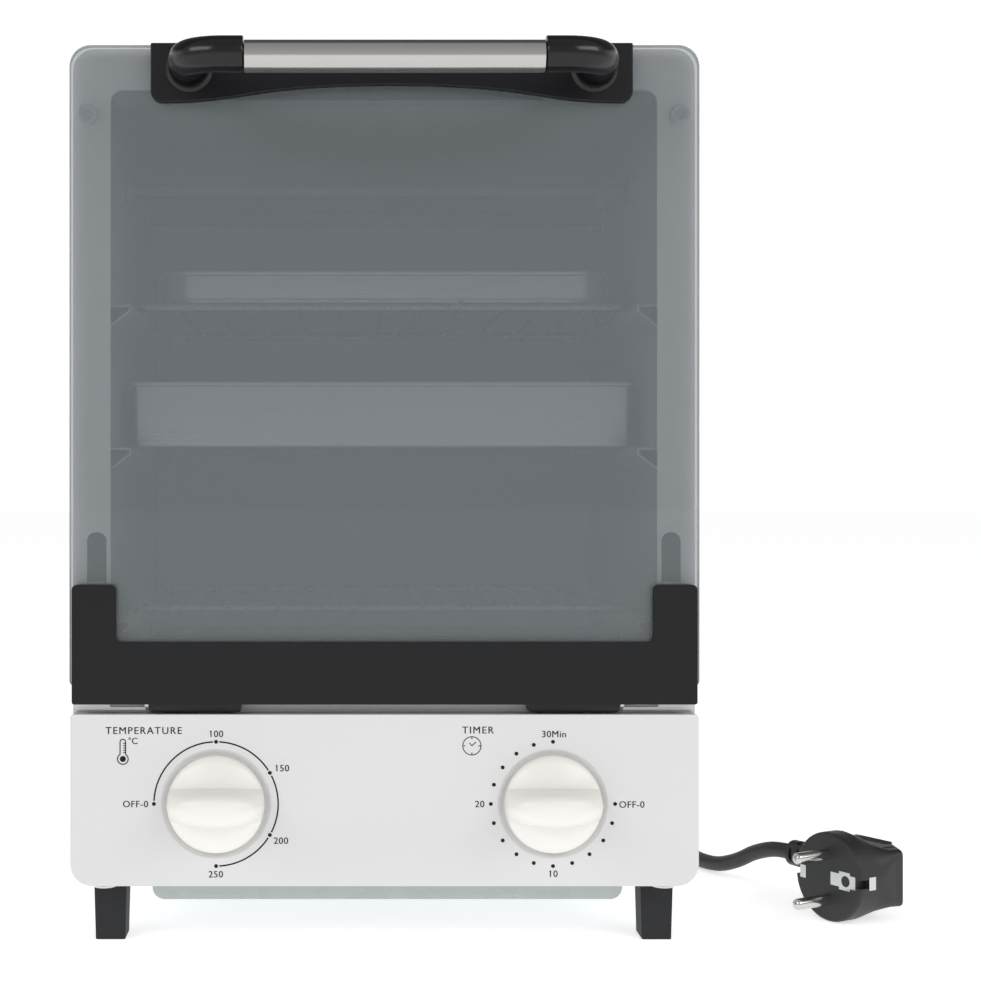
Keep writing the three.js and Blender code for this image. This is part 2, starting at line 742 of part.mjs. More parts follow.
// Heaters: sheathed tubes with a ceramic bush at each end, in the chamber walls
const ceramicEnd = chamberHalfWidth + wallSheet + ceramicReach;
const flangeFace = chamberHalfWidth - seatGap;
const heater = turnedToRight([
  [0, -ceramicEnd], [ceramicRadius, -ceramicEnd], [ceramicRadius, -flangeFace],
  [ceramicFlangeRadius, -flangeFace], [ceramicFlangeRadius, ceramicFlange - flangeFace],
  [heaterRadius, ceramicFlange - flangeFace], [heaterRadius, flangeFace - ceramicFlange],
  [ceramicFlangeRadius, flangeFace - ceramicFlange], [ceramicFlangeRadius, flangeFace],
  [ceramicRadius, flangeFace], [ceramicRadius, ceramicEnd], [0, ceramicEnd],
], 8);
const heaterNames = ['lower_heater_front', 'lower_heater_rear', 'upper_heater_front', 'upper_heater_rear'];
heaterSpots.forEach(([place, z], index) => {
  const piece = addPiece(heaterNames[index], heater.clone(), heaterSheath);
  piece.position.set(0, frontY + place, z);
});

// Racks: a bent wire frame with rods from front to back
function makeRack(z) {
  const half = rackWidth / 2 - rackFrameRadius;
  const front = chamberBackY - trayStopGap - rackDepth + rackFrameRadius;
  const back = chamberBackY - trayStopGap - rackFrameRadius;
  const frame = [];
  const cornerSteps = 3;
  const corners = [
    [half - rackCornerRadius, front + rackCornerRadius, -Math.PI / 2],
    [half - rackCornerRadius, back - rackCornerRadius, 0],
    [rackCornerRadius - half, back - rackCornerRadius, Math.PI / 2],
    [rackCornerRadius - half, front + rackCornerRadius, Math.PI],
  ];
  for (const [x, y, start] of corners) {
    for (let step = 0; step <= cornerSteps; step += 1) {
      const angle = start + (Math.PI / 2) * (step / cornerSteps);
      frame.push(new THREE.Vector3(
        x + rackCornerRadius * Math.cos(angle), y + rackCornerRadius * Math.sin(angle), z));
    }
  }
  const halves = [frame.slice(0, frame.length / 2 + 1), [...frame.slice(frame.length / 2), frame[0]]];
  const frameTubes = halves.map((points) => tubeAlong(points, () => rackFrameRadius, 6));
  const rods = [];
  const count = Math.floor((half - rackCornerRadius) / rackRodPitch);
  for (let index = -count; index <= count; index += 1) {
    const x = index * rackRodPitch;
    rods.push(rod([x, front, z], [x, back, z], rackRodRadius, 6));
  }
  return joined(...frameTubes, ...rods);
}

/** Open tray with straight drafted walls: its rim is at the top, its floor at z 0. */
function makeTray(width, depth, wall, sheet, draft, round, steps) {
  const rect = (inset, radius) => {
    const halfX = width / 2 - inset;
    const halfY = depth / 2 - inset;
    const corners = [[halfX, -halfY, -Math.PI / 2], [halfX, halfY, 0],
      [-halfX, halfY, Math.PI / 2], [-halfX, -halfY, Math.PI]];
    return corners.flatMap(([x, y, start]) => {
      const centreX = x - Math.sign(x) * radius;
      const centreY = y - Math.sign(y) * radius;
      return Array.from({ length: steps + 1 }, (_, step) => {
        const angle = start + (Math.PI / 2) * (step / steps);
        return [centreX + radius * Math.cos(angle), centreY + radius * Math.sin(angle)];
      });
    });
  };
  const level = (inset, radius, z) =>
    rect(inset, radius).map(([x, y]) => new THREE.Vector3(x, y, z));
  const innerRound = Math.max(round - sheet, sheet / 2);
  const rings = [
    level(draft, round, 0),
    level(0, round, wall),
    level(sheet, innerRound, wall),
    level(draft + sheet, innerRound, sheet),
  ];
  return skinRings(rings);
}

const rackFrontY = chamberBackY - trayStopGap - rackDepth;
addPiece('bottom_rack', makeRack(bottomRackZ), chromedWire);
addPiece('upper_rack', makeRack(upperRackZ), chromedWire);

const lowerTray = addPiece('lower_tray', makeTray(
  rackWidth, lowerTrayDepth, lowerTrayWall, traySheet, lowerTrayDraft, traySheet * 2, 2), stainless);
lowerTray.position.set(0, chamberBackY - trayStopGap - lowerTrayDepth / 2, lowerTrayZ);

const upperTray = addPiece('upper_tray', makeTray(
  upperTrayWidth, upperTrayDepth, upperTrayWall, traySheet, 0, upperTrayRound, 5), stainless);
upperTray.position.set(
  upperTrayOffset, rackFrontY + rackDepth / 2, upperRackZ + rackRodRadius + trayRestGap);

// Thermostat and timer: a switch body, a threaded neck through the front frame and two terminals
function makeControlBody() {
  const half = controlBodyWidth / 2;
  const tall = controlBodyHeight / 2;
  const chamfer = controlTerminalWidth / 2;
  const body = extrudeY(outline([
    [-half, -tall, chamfer], [half, -tall, chamfer], [half, tall, chamfer], [-half, tall, chamfer],
  ]), seatGap, controlBodyDepth, 2);
  const neck = turnedToFront([
    [0, 0], [controlNeckRadius, 0],
    [controlNeckRadius, controlBodyDepth / 2 + panelProud / 2],
    [0, controlBodyDepth / 2 + panelProud / 2],
  ], 16).translate(0, controlBodyDepth / 2, 0);
  const terminals = [-1, 1].map((side) => block(
    [side * half / 2 - controlTerminalWidth / 2, controlBodyDepth - cutOverrun, -sheetThickness / 2],
    [side * half / 2 + controlTerminalWidth / 2,
      controlBodyDepth + controlTerminalDepth, sheetThickness / 2]));
  const bore = turnedToFront([
    [0, 0], [controlNeckBore, 0], [controlNeckBore, controlBodyDepth], [0, controlBodyDepth],
  ], 16).translate(0, controlBodyDepth / 2 + cutOverrun, 0);
  return cut(joined(body, neck, ...terminals), bore);
}

/** Knob: round skirt, domed face, swelling grip bar and pointer ridges, its back face at y 0. */
function makeKnob(pointerSides) {
  const disc = turnedToFront([
    [0, 0], [knobRadius, 0], [knobRadius, knobSkirt - knobEdgeRound / 2],
    [knobRadius - knobEdgeRound / 2, knobSkirt], [knobRadius - knobEdgeRound, knobSkirt + knobEdgeRound / 2],
    [knobRadius / 2, knobHeight - knobEdgeRound / 2], [0, knobHeight],
  ], 28);
  const barShape = new THREE.Shape();
  const barHalf = knobRadius - knobEdgeRound / 2;
  barShape.moveTo(-barHalf, -gripEndWidth / 2);
  barShape.quadraticCurveTo(0, -gripWidth + gripEndWidth / 2, barHalf, -gripEndWidth / 2);
  barShape.lineTo(barHalf, gripEndWidth / 2);
  barShape.quadraticCurveTo(0, gripWidth - gripEndWidth / 2, -barHalf, gripEndWidth / 2);
  barShape.closePath();
  const barFull = new THREE.ExtrudeGeometry(barShape, {
    depth: gripHeight - gripEdgeRound, bevelEnabled: true, bevelThickness: gripEdgeRound,
    bevelSize: gripEdgeRound, bevelOffset: -gripEdgeRound, bevelSegments: 2, curveSegments: 8,
  });
  const bar = alongY(barFull);
  const barBack = block(
    [-knobRadius, -gripHeight * 2, -knobRadius], [knobRadius, -knobSkirt / 2, knobRadius]);
  const crown = turnedToFront([
    [0, 0], [knobRadius, 0], [knobRadius, knobSkirt + knobEdgeRound / 2],
    [knobRadius - knobEdgeRound, gripHeight - knobEdgeRound * 2],
    [knobRadius - knobEdgeRound * 3, gripHeight], [0, gripHeight],
  ], 28);
  const grip = common(common(bar, barBack), crown);
  const pointers = pointerSides.map((side) => block(
    [Math.min(side * knobRadius / 2, side * (knobRadius - pointerHeight)),
      -(gripHeight + pointerHeight), -pointerWidth / 2],
    [Math.max(side * knobRadius / 2, side * (knobRadius - pointerHeight)),
      -knobSkirt, pointerWidth / 2]));
  const pointerCrown = turnedToFront([
    [0, 0], [knobRadius, 0], [knobRadius, knobSkirt + knobEdgeRound / 2],
    [knobRadius - knobEdgeRound + pointerHeight, gripHeight - knobEdgeRound * 2],
    [knobRadius - knobEdgeRound * 3, gripHeight + pointerHeight], [0, gripHeight + pointerHeight],
  ], 28);
  const ridges = pointers.map((pointer) => common(pointer, pointerCrown));
  const socket = turnedToFront([
    [0, 0], [shaftRadius + seatGap, 0], [shaftRadius + seatGap, shaftSocketDepth + cutOverrun],
    [0, shaftSocketDepth + cutOverrun],
  ], 16).translate(0, cutOverrun, 0);
  return cut(joined(disc, grip, ...ridges), socket);
}

const knobBackY = panelFrontY + dishDepth - seatGap;
const controls = [
  ['temperature_knob', 'thermostat_shaft', 'thermostat_body', -1, [-1, 1]],
  ['timer_knob', 'timer_shaft', 'timer_body', 1, [1]],
];
const shaftLength = shaftSocketDepth - seatGap + (innerFrontY - knobBackY) + controlBodyDepth / 4;
for (const [knobName, shaftName, bodyName, side, pointerSides] of controls) {
  const station = new THREE.Group();
  station.position.set(side * knobX, knobBackY, knobZ);
  group.add(station);
  addPiece(knobName, makeKnob(pointerSides), ivoryPlastic, station);
  const shaft = turnedToFront([
    [0, 0], [shaftRadius, 0], [shaftRadius, shaftLength], [0, shaftLength],
  ], 16).translate(0, shaftLength - shaftSocketDepth + seatGap, 0);
  addPiece(shaftName, shaft, stainless, station);
  addPiece(bodyName, makeControlBody().translate(0, innerFrontY - knobBackY - seatGap, 0), zinc, station);
}

// Door, drawn about its hinge line
const door = new THREE.Group();
door.position.set(0, hingeY, hingeZ);
group.add(door);
const glassHalf = glassThickness / 2;
const doorHalf = doorThickness / 2;
const grooveHalf = glassHalf + seatGap;
const frameHalf = caseHalf - doorFrameSideStep;
const knuckleInset = caseHalf - knuckleSideInset - knuckleWidth;

addPiece('door_glass', extrudeY(
  panelOutline(
    [-glassWidth / 2, glassSeatAboveHinge], [glassWidth / 2, glassTopAboveHinge],
    doorFrameRound, glassCornerRadius),
  -glassHalf, glassHalf), smokedGlass, door);

const earX = knuckleInset + knuckleWidth + seatGap + earThickness / 2;
function makeDoorFrame() {
  const inner = frameHalf - doorFrameArm;
  const shape = outline([
    [-frameHalf, -doorFrameBelowHinge, doorFrameRound / 2],
    [frameHalf, -doorFrameBelowHinge, doorFrameRound / 2],
    [frameHalf, doorFrameArmTop, doorFrameRound],
    [inner, doorFrameArmTop, doorFrameRound],
    [inner, doorFrameBarTop, doorFrameRound],
    [-inner, doorFrameBarTop, doorFrameRound],
    [-inner, doorFrameArmTop, doorFrameRound],
    [-frameHalf, doorFrameArmTop, doorFrameRound],
  ]);
  let frame = toSolid(extrudeY(shape, -doorHalf, doorHalf, 3));
  const groove = block(
    [-glassWidth / 2 - cutOverrun, -grooveHalf, glassSeatAboveHinge - seatGap],
    [glassWidth / 2 + cutOverrun, grooveHalf, doorFrameArmTop + cutOverrun]);
  frame = frame.subtract(toSolid(groove));
  for (const side of [-1, 1]) {
    const near = side * knuckleInset;
    const far = side * (knuckleInset + knuckleWidth);
    const low = Math.min(near, far);
    const high = Math.max(near, far);
    const section = new THREE.Shape();
    section.moveTo(-knuckleRadius, doorFrameRound);
    section.absarc(0, 0, knuckleRadius, Math.PI, 2 * Math.PI, false);
    section.lineTo(knuckleRadius, doorFrameRound);
    section.closePath();
    const face = panelOutline(
      [low, -knuckleRadius - seatGap / 3], [high, doorFrameRound], knuckleRound, 0);
    const knuckle = common(
      extrudeX(section, low, high, 12), extrudeY(face, -knuckleRadius * 2, knuckleRadius * 2, 3));
    frame = frame.add(toSolid(knuckle));
    const notchRadius = earRadius + seatGap;
    const notchLow = side * earX - earThickness / 2 - seatGap;
    const notchHigh = side * earX + earThickness / 2 + seatGap;
    frame = frame.subtract(toSolid(rod([notchLow, 0, 0], [notchHigh, 0, 0], notchRadius, 16)));
    const boreStart = side * (earX + pinLength * (1 - pinSeatShare));
    const boreEnd = side * (earX - pinLength * pinSeatShare - seatGap);
    frame = frame.subtract(toSolid(rod([boreStart, 0, 0], [boreEnd, 0, 0], pinRadius + seatGap, 10)));
  }
  return toGeometry(frame);
}
addPiece('door_bottom_frame', makeDoorFrame(), blackPlastic, door);

// Handle on the glass
const bracketFrontY = -glassHalf - seatGap - bracketThickness;
const bracketBackY = -glassHalf - seatGap;
function makeHandleBracket() {
  const half = bracketWidth / 2;
  const top = glassTopAboveHinge;
  const low = top - bracketHeight;
  const shape = new THREE.Shape();
  shape.moveTo(-half, top);
  shape.lineTo(-half, low + bracketRound);
  shape.absarc(-half + bracketRound, low + bracketRound, bracketRound, Math.PI, 1.5 * Math.PI, false);
  shape.bezierCurveTo(
    -half + bracketArchInset, low, -half + bracketArchInset, low + bracketArch, 0, low + bracketArch);
  shape.bezierCurveTo(
    half - bracketArchInset, low + bracketArch, half - bracketArchInset, low, half - bracketRound, low);
  shape.absarc(half - bracketRound, low + bracketRound, bracketRound, 1.5 * Math.PI, 2 * Math.PI, false);
  shape.lineTo(half, top);
  shape.closePath();
  return extrudeY(shape, bracketFrontY, bracketBackY, 8).translate(handleOffset, 0, 0);
}
addPiece('handle_bracket', makeHandleBracket(), blackPlastic, door);

const clampLowZ = glassTopAboveHinge - clampBelowGlass;
addPiece('handle_clamp_strip', block(
  [-clampHalfWidth, glassHalf + seatGap, clampLowZ],
  [clampHalfWidth, glassHalf + seatGap + clampThickness, clampLowZ + clampHeight]), blackPlastic, door);

const handleZ = glassTopAboveHinge - tubeBelowGlass;
const tubeY = -glassHalf - handleStandOff;
const tubeHalf = tubeHalfLength - seatGap;
const handleTube = turnedToRight([
  [tubeRadius - tubeWall, -tubeHalf], [tubeRadius, -tubeHalf],
  [tubeRadius, tubeHalf], [tubeRadius - tubeWall, tubeHalf], [tubeRadius - tubeWall, -tubeHalf],
], 24);
const tubePiece = addPiece('handle_tube', handleTube, stainless, door);
tubePiece.position.set(handleOffset, tubeY, handleZ);

/** Elbow from the tube's end round to its foot on the bracket, in the handle's own frame. */
function makeElbow() {
  const sides = 14;
  const bendSteps = 5;
  const bracketFaceY = bracketFrontY - tubeY - seatGap;
  const points = [[tubeHalfLength, 0], [tubeHalfLength + elbowSleeve, 0]];
  for (let step = 1; step <= bendSteps; step += 1) {
    const angle = (Math.PI / 2) * (step / bendSteps);
    points.push([
      tubeHalfLength + elbowSleeve + elbowBend * Math.sin(angle), elbowBend * (1 - Math.cos(angle))]);
  }
  const footX = points[points.length - 1][0];
  points.push([footX, bracketFaceY - elbowFootHeight]);
  const path = points.map(([x, y]) =>
    new THREE.Vector3(x, y, elbowRise + (elbowFootRise - elbowRise) * (y / bracketFaceY)));
  const bend = tubeAlong(path, () => elbowRadius, sides);
  const foot = turned([
    [0, 0], [elbowRadius - seatGap, 0], [elbowFootRadius, elbowFootHeight],
    [elbowFootRadius, elbowFootHeight * elbowPlateShare], [0, elbowFootHeight * elbowPlateShare],
  ], 20).rotateX(-Math.PI / 2);
  foot.translate(footX, bracketFaceY - elbowFootHeight * elbowPlateShare, elbowFootRise);
  const spigot = turnedToRight([
    [0, 0], [tubeRadius - tubeWall - seatGap, 0], [tubeRadius - tubeWall - seatGap, elbowSleeve * 2],
    [0, elbowSleeve * 2],
  ], 16).translate(tubeHalfLength - elbowSleeve, 0, 0);
  return joined(bend, foot, spigot);
}
const handleEnds = new THREE.Group();
handleEnds.position.set(handleOffset, tubeY, handleZ);
door.add(handleEnds);
addPair('handle_elbow', makeElbow(), glossBlack, handleEnds);

// Hinge arms: an arc about the hinge line that slides through the front frame's slot
function makeHingeArm() {
  const inner = armMeanRadius - armBandWidth / 2;
  const outer = armMeanRadius + armBandWidth / 2;
  const footFront = doorHalf + seatGap;
  const start = Math.PI / 2 - Math.asin(footFront / inner);
  const end = Math.PI / 2 - Math.PI * armEndAngleShare;
  const shape = new THREE.Shape();
  shape.absarc(0, 0, outer, start, end, true);
  shape.absarc(0, 0, inner, end, start, false);
  shape.closePath();
  const hole = new THREE.Path();
  const holeAngle = end + armBandWidth / 2 / armMeanRadius;
  hole.absarc(
    armMeanRadius * Math.cos(holeAngle), armMeanRadius * Math.sin(holeAngle),
    springHoleRadius, 0, 2 * Math.PI);
  shape.holes.push(hole);
  const arc = extrudeX(shape, slotX - armThickness / 2, slotX + armThickness / 2, 9);
  const foot = block(
    [slotX - armFootWidth / 2, footFront, armMeanRadius - armFootHeight / 2],
    [slotX + armFootWidth / 2, footFront + armFootThickness, armMeanRadius + armFootHeight / 2]);
  const clear = block(
    [slotX - armFootWidth, -outer, -outer * 2], [slotX + armFootWidth, footFront, outer * 2]);
  return cut(joined(arc, foot), clear);
}
addPair('hinge_arm', makeHingeArm(), zinc, door);

// Hinge pins in the knuckles, and the stamped brackets that hold them
const pinLow = earX - pinLength * pinSeatShare;
const pinHigh = earX + pinLength * (1 - pinSeatShare) - seatGap;
addPair('hinge_pin', rod([pinLow, 0, 0], [pinHigh, 0, 0], pinRadius, 12), zinc, door);

function makeHingeBracket() {
  const seatY = doorReach - seatGap;
  const low = -doorReach + doorGap + seatGap;
  const legTurn = -Math.PI / 4;
  const head = rod(
    [earX - earThickness / 2, 0, 0], [earX + earThickness / 2, 0, 0], earRadius, 16);
  const legLength = seatY / Math.cos(legTurn);
  const leg = block(
    [earX - earThickness / 2, 0, -earLegWidth / 2], [earX + earThickness / 2, legLength, earLegWidth / 2]);
  leg.rotateX(legTurn);
  const legClip = block(
    [earX - earThickness, -earRadius, low], [earX + earThickness, seatY, earRadius]);
  const strip = block(
    [earX - earThickness / 2, seatY - bracketFootThickness, low],
    [caseHalf - sheetThickness, seatY, low + bracketStripHeight]);
  const footPlate = block(
    [caseHalf - sheetThickness - bracketFootWidth, seatY - bracketFootThickness, low],
    [caseHalf - sheetThickness, seatY, low + bracketFootHeight]);
  const hole = rod([earX - earThickness, 0, 0], [earX + earThickness, 0, 0], pinRadius + seatGap / 2, 12);
  return cut(joined(head, common(leg, legClip), strip, footPlate), hole);
}
const hingeSeat = new THREE.Group();
hingeSeat.position.set(0, hingeY, hingeZ);
group.add(hingeSeat);
addPair('hinge_bracket', makeHingeBracket(), zinc, hingeSeat);

// Crumb tray and its runners
const runnerTopZ = footHeight - seatGap;
const runnerLowZ = runnerTopZ - runnerHeight;
const runnerWebX = crumbTrayWidth / 2 + seatGap;
function makeCrumbRunner() {
  const path = [
    [runnerWebX - runnerShelf, runnerLowZ + sheetThickness],
    [runnerWebX, runnerLowZ + sheetThickness],
    [runnerWebX, runnerTopZ],
    [runnerWebX + runnerFlange, runnerTopZ],
  ];
  const shape = bentSheet(path.reverse(), sheetThickness);
  return extrudeY(shape, frontY + sheetThickness, runnerBackY);
}
addPair('crumb_tray_runner', makeCrumbRunner(), galvanised);

function makeCrumbTray() {
  const floorZ = runnerLowZ + sheetThickness + seatGap;
  const half = crumbTrayWidth / 2 - seatGap;
  const front = frontY - crumbLipSetback;
  const back = runnerBackY - crumbTrayBackGap - crumbLipSetback;
  const pan = makeTray(half * 2, back - front, crumbTrayWall, crumbSheet, 0, crumbSheet * 2, 1)
    .translate(0, (front + back) / 2, floorZ);
  const lipHalf = crumbTrayWidth / 2 + crumbLipOverhang;
  const lipTop = footHeight - seatGap;
  const lip = extrudeY(panelOutline(
    [crumbLipOffset - lipHalf, lipTop - crumbLipHeight], [crumbLipOffset + lipHalf, lipTop],
    crumbLipRound, 0), front - crumbSheet / 2, front + crumbSheet / 2);
  return joined(pan, lip);
}
addPiece('crumb_tray', makeCrumbTray(), galvanised);

// Feet, each with a screw recess in its underside
function makeFoot() {
  const top = footHeight - seatGap;
  const level = (inset, z) => {
    const halfX = footWidth / 2 - inset;
    const halfY = footDepth / 2 - inset;
    return [[-halfX, -halfY], [halfX, -halfY], [halfX, halfY], [-halfX, halfY]]
      .map(([x, y]) => new THREE.Vector3(x, y, z));
  };
  const body = skinRings([level(footTaper, 0), level(0, top)]);
  return cut(body, rod([0, 0, -cutOverrun], [0, 0, footScrewRecess], footScrewHole, 12));
}
const footX = caseHalf - footInset - footWidth / 2;
const footPlaces = [
  ['front_left', -footX, frontY + footSetback + footDepth / 2],
  ['front_right', footX, frontY + footSetback + footDepth / 2],
  ['rear_left', -footX, backY - footRearSetback - footDepth / 2],
  ['rear_right', footX, backY - footRearSetback - footDepth / 2],
];
for (const [name, x, y] of footPlaces) {
  addPiece(`foot_${name}`, makeFoot(), footRubber).position.set(x, y, 0);
}

// Rear spacers
const spacer = turned([
  [0, 0], [spacerRadius, 0], [spacerRadius - spacerHeight / 4, spacerHeight], [0, spacerHeight],
], 20).rotateX(-Math.PI / 2);
for (const [name, side] of [['left', -1], ['right', 1]]) {
  const piece = addPiece(`rear_spacer_${name}`, spacer.clone(), blackPlastic);
  piece.position.set(side * spacerSpread / 2, backY + seatGap, caseTop - spacerBelowCase / 2);
}

// Mains cord: gland, lead to the coil, coil, tail to the plug
const glandZ = footHeight + glandAboveCase;
const gland = turned([
  [0, 0], [glandRootRadius - seatGap, 0], [glandRootRadius - seatGap, glandRoot],
  [glandFlangeRadius, glandRoot], [glandFlangeRadius, glandRoot + glandFlange],
  [glandRootRadius, glandRoot + glandFlange], [glandNoseRadius, glandRoot + glandLength],
  [0, glandRoot + glandLength],
], 16).rotateX(-Math.PI / 2);
addPiece('cord_gland', gland, cordBlack).position.set(glandSide, backY + seatGap - glandRoot, glandZ);

const routePoints = (route) => route.map((point) => new THREE.Vector3(...point));
function makeCordStretch(route) {
  const curve = new THREE.CatmullRomCurve3(routePoints(route), false, 'centripetal');
  const section = new THREE.Shape(Array.from({ length: cordSides }, (_, side) => {
    const angle = 2 * Math.PI * side / cordSides;
    return new THREE.Vector2(cordRadius * Math.cos(angle), cordRadius * Math.sin(angle));
  }));
  const steps = Math.round(curve.getLength() / (2 * cordRadius * cordStepShare));
  return new THREE.ExtrudeGeometry(section, { steps, extrudePath: curve, bevelEnabled: false });
}
addPiece('cord_lead', makeCordStretch(leadRoute), cordBlack);
addPiece('cord_tail', makeCordStretch(tailRoute), cordBlack);

/** Middle line of the coil: it winds in on the bench, climbs, and winds out on top of itself. */
function coilLine() {
  const count = coilTurns * coilStepsPerTurn;
  const outer = coilMeanRadius + coilPitch * coilTurns / 4;
  const line = Array.from({ length: count + 1 }, (_, step) => {
    const turn = step / coilStepsPerTurn;
    const inward = Math.min(turn, coilTurns - turn);
    const radius = outer - coilPitch * inward;
    const climb = THREE.MathUtils.smoothstep(
      turn, (coilTurns - coilClimbShare) / 2, (coilTurns + coilClimbShare) / 2);
    const angle = Math.PI / 2 + 2 * Math.PI * turn;
    return new THREE.Vector3(
      coilPlace[0] + radius * Math.cos(angle), coilPlace[1] + radius * Math.sin(angle),
      cordRestZ + coilPitch * climb);
  });
  const straight = new THREE.Vector3(cordRadius * 2, 0, 0);
  return [line[0].clone().add(straight), ...line, line[count].clone().add(straight)];
}

/** Least clear distance between stretches of the coil that lie more than half a turn apart. */
function leastCoilGap(line) {
  let least = Infinity;
  const apart = coilStepsPerTurn / 2;
  for (let one = 0; one < line.length; one += 1) {
    for (let two = one + apart; two + 1 < line.length; two += 1) {
      const stretch = new THREE.Line3(line[two], line[two + 1]);
      const nearest = stretch.closestPointToPoint(line[one], true, new THREE.Vector3());
      least = Math.min(least, nearest.distanceTo(line[one]) - 2 * cordRadius);
    }
  }
  return least;
}
const coil = coilLine();
console.log(`least gap of the coil to itself: ${leastCoilGap(coil).toFixed(2)} mm`);
addPiece('cord_coil', tubeAlong(coil, () => cordRadius, coilSides), cordBlack);

// Plug: -X of its own frame is the way its pins point, +Y the way its cord leaves
const plug = new THREE.Group();
plug.position.set(plugPlace[0], plugPlace[1], plugRadius);
plug.rotation.z = plugYaw;
group.add(plug);

function makePlugBody() {
  const rim = turnedToRight([
    [0, 0], [plugRadius - seatGap * 2, 0], [plugRadius, seatGap * 2],
    [plugRadius, plugRim], [plugRadius - seatGap * 4, plugRim + seatGap * 4], [0, plugRim + seatGap * 4],
  ], 28);
  const rearHalf = plugRadius * plugRearShare;
  const rearShape = new THREE.Shape([
    new THREE.Vector2(plugRim / 2, -rearHalf),
    new THREE.Vector2(plugDepth - plugChamfer, -rearHalf),
    new THREE.Vector2(plugDepth, plugChamfer - rearHalf),
    new THREE.Vector2(plugDepth, rearHalf),
    new THREE.Vector2(plugRim / 2, rearHalf),
  ]);
  const rear = extrudeZ(rearShape, -plugRearThickness / 2, plugRearThickness / 2);
  const grip = block(
    [plugDepth - plugGripDepth, -plugGripHeight / 2, -plugRearThickness / 3],
    [plugDepth + plugGripDepth, plugGripHeight / 2, plugRearThickness / 3]);
  const collar = rod(
    [plugCollarCentre, plugRadius / 2, 0], [plugCollarCentre, plugCollarEnd, 0], plugCollarRadius, 16);
  const sockets = [-1, 1].map((side) => rod(
    [-cutOverrun, 0, side * pinSpread / 2], [plugPinSocket, 0, side * pinSpread / 2],
    plugPinRadius + seatGap, 12));
  return cut(joined(rim, rear, grip, collar), ...sockets);
}
addPiece('plug_body', makePlugBody(), cordBlack, plug);

const plugPin = turnedToRight([
  [0, -plugPinLength], [plugPinRadius * plugPinTipShare, -plugPinLength],
  [plugPinRadius, plugPinRadius * plugPinTipShare - plugPinLength],
  [plugPinRadius, plugPinSocket - seatGap], [0, plugPinSocket - seatGap],
], 12);
for (const [name, side] of [['lower', -1], ['upper', 1]]) {
  addPiece(`plug_pin_${name}`, plugPin.clone(), stainless, plug).position.z = side * pinSpread / 2;
}

function makePlugRelief() {
  const ribPitch = reliefLength / (reliefRibs + 1);
  const profile = [[0, 0], [reliefRibRadius, 0]];
  for (let rib = 0; rib < reliefRibs; rib += 1) {
    const start = ribPitch * (rib + 0.5);
    profile.push(
      [reliefRibRadius, start], [reliefCoreRadius, start],
      [reliefCoreRadius, start + ribPitch / 2], [reliefRibRadius, start + ribPitch / 2]);
  }
  profile.push([reliefTipRadius, reliefLength], [0, reliefLength]);
  return turned(profile, 12).rotateX(-Math.PI / 2);
}
addPiece('plug_strain_relief', makePlugRelief(), cordBlack, plug)
  .position.set(plugCollarCentre, plugCollarEnd + seatGap, 0);

export default group;
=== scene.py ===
"""Looks of a dry heat sterilizer: an upright bench chamber with a smoked glass door that drops to the front.

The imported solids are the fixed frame. Every finished piece rides on one of their bodies. Sizes are in
metres, or in millimetres where a name ends in mm, and a share is a part of another size.
"""

from __future__ import annotations

import logging
import math
from dataclasses import dataclass, field
from enum import Enum
from typing import Any, Iterable, Sequence

import bmesh
import bpy
from mathutils import Matrix, Vector

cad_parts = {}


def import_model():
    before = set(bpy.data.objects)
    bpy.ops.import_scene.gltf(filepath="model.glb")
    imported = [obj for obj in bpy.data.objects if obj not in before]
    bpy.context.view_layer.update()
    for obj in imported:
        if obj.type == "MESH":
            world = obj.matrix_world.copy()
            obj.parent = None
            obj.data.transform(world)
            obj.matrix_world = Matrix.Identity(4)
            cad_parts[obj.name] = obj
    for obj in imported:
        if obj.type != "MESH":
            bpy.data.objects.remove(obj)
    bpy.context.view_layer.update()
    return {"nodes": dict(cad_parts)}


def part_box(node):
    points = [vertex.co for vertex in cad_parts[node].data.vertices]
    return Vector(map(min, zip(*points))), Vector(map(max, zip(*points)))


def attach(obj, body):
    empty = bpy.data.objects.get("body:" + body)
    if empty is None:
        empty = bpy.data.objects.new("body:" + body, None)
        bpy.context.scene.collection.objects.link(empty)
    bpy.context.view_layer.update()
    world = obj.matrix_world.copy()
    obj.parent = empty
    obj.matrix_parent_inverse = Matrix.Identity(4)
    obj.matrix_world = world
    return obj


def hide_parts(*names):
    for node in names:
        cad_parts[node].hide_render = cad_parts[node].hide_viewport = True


LOG = logging.getLogger("dry_heat_sterilizer")
MM = 0.001
PHOTO_PIXELS = 981
SMOOTH_ANGLE = math.radians(35)
FLAT_ANGLE = math.radians(0.5)
WELD_DISTANCE = 1e-6
# Nearly all of a noise's values lie between these two
NOISE_LOW = 0.3
NOISE_HIGH = 0.7
# How many ever finer layers a noise has
SOFT_LAYERS = 2.0
LAYERS = 3.0
FINE_LAYERS = 4.0
LEAST_ROUGHNESS = 0.02
# Numbers of the mix node's sockets, whose names repeat
SHARE = 0
NUMBERS = (2, 3)
COLOURS = (6, 7)
MIXED_NUMBER = 0
MIXED_COLOUR = 2
# Sides and steps of the repeated small forms
RACK_CORNER_STEPS = 10
FRAME_WIRE_SIDES = 16
ROD_SIDES = 12
DOT_SIDES = 24


class Body(Enum):
    """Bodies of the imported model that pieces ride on."""

    CASE = "case"
    DOOR = "door"
    TEMPERATURE = "temperature_control"
    TIMER = "timer_control"
    CRUMB_DRAWER = "crumb_drawer"
    BOTTOM_SHELF = "bottom_shelf"
    LOWER_PAN = "lower_pan"
    UPPER_SHELF = "upper_shelf"


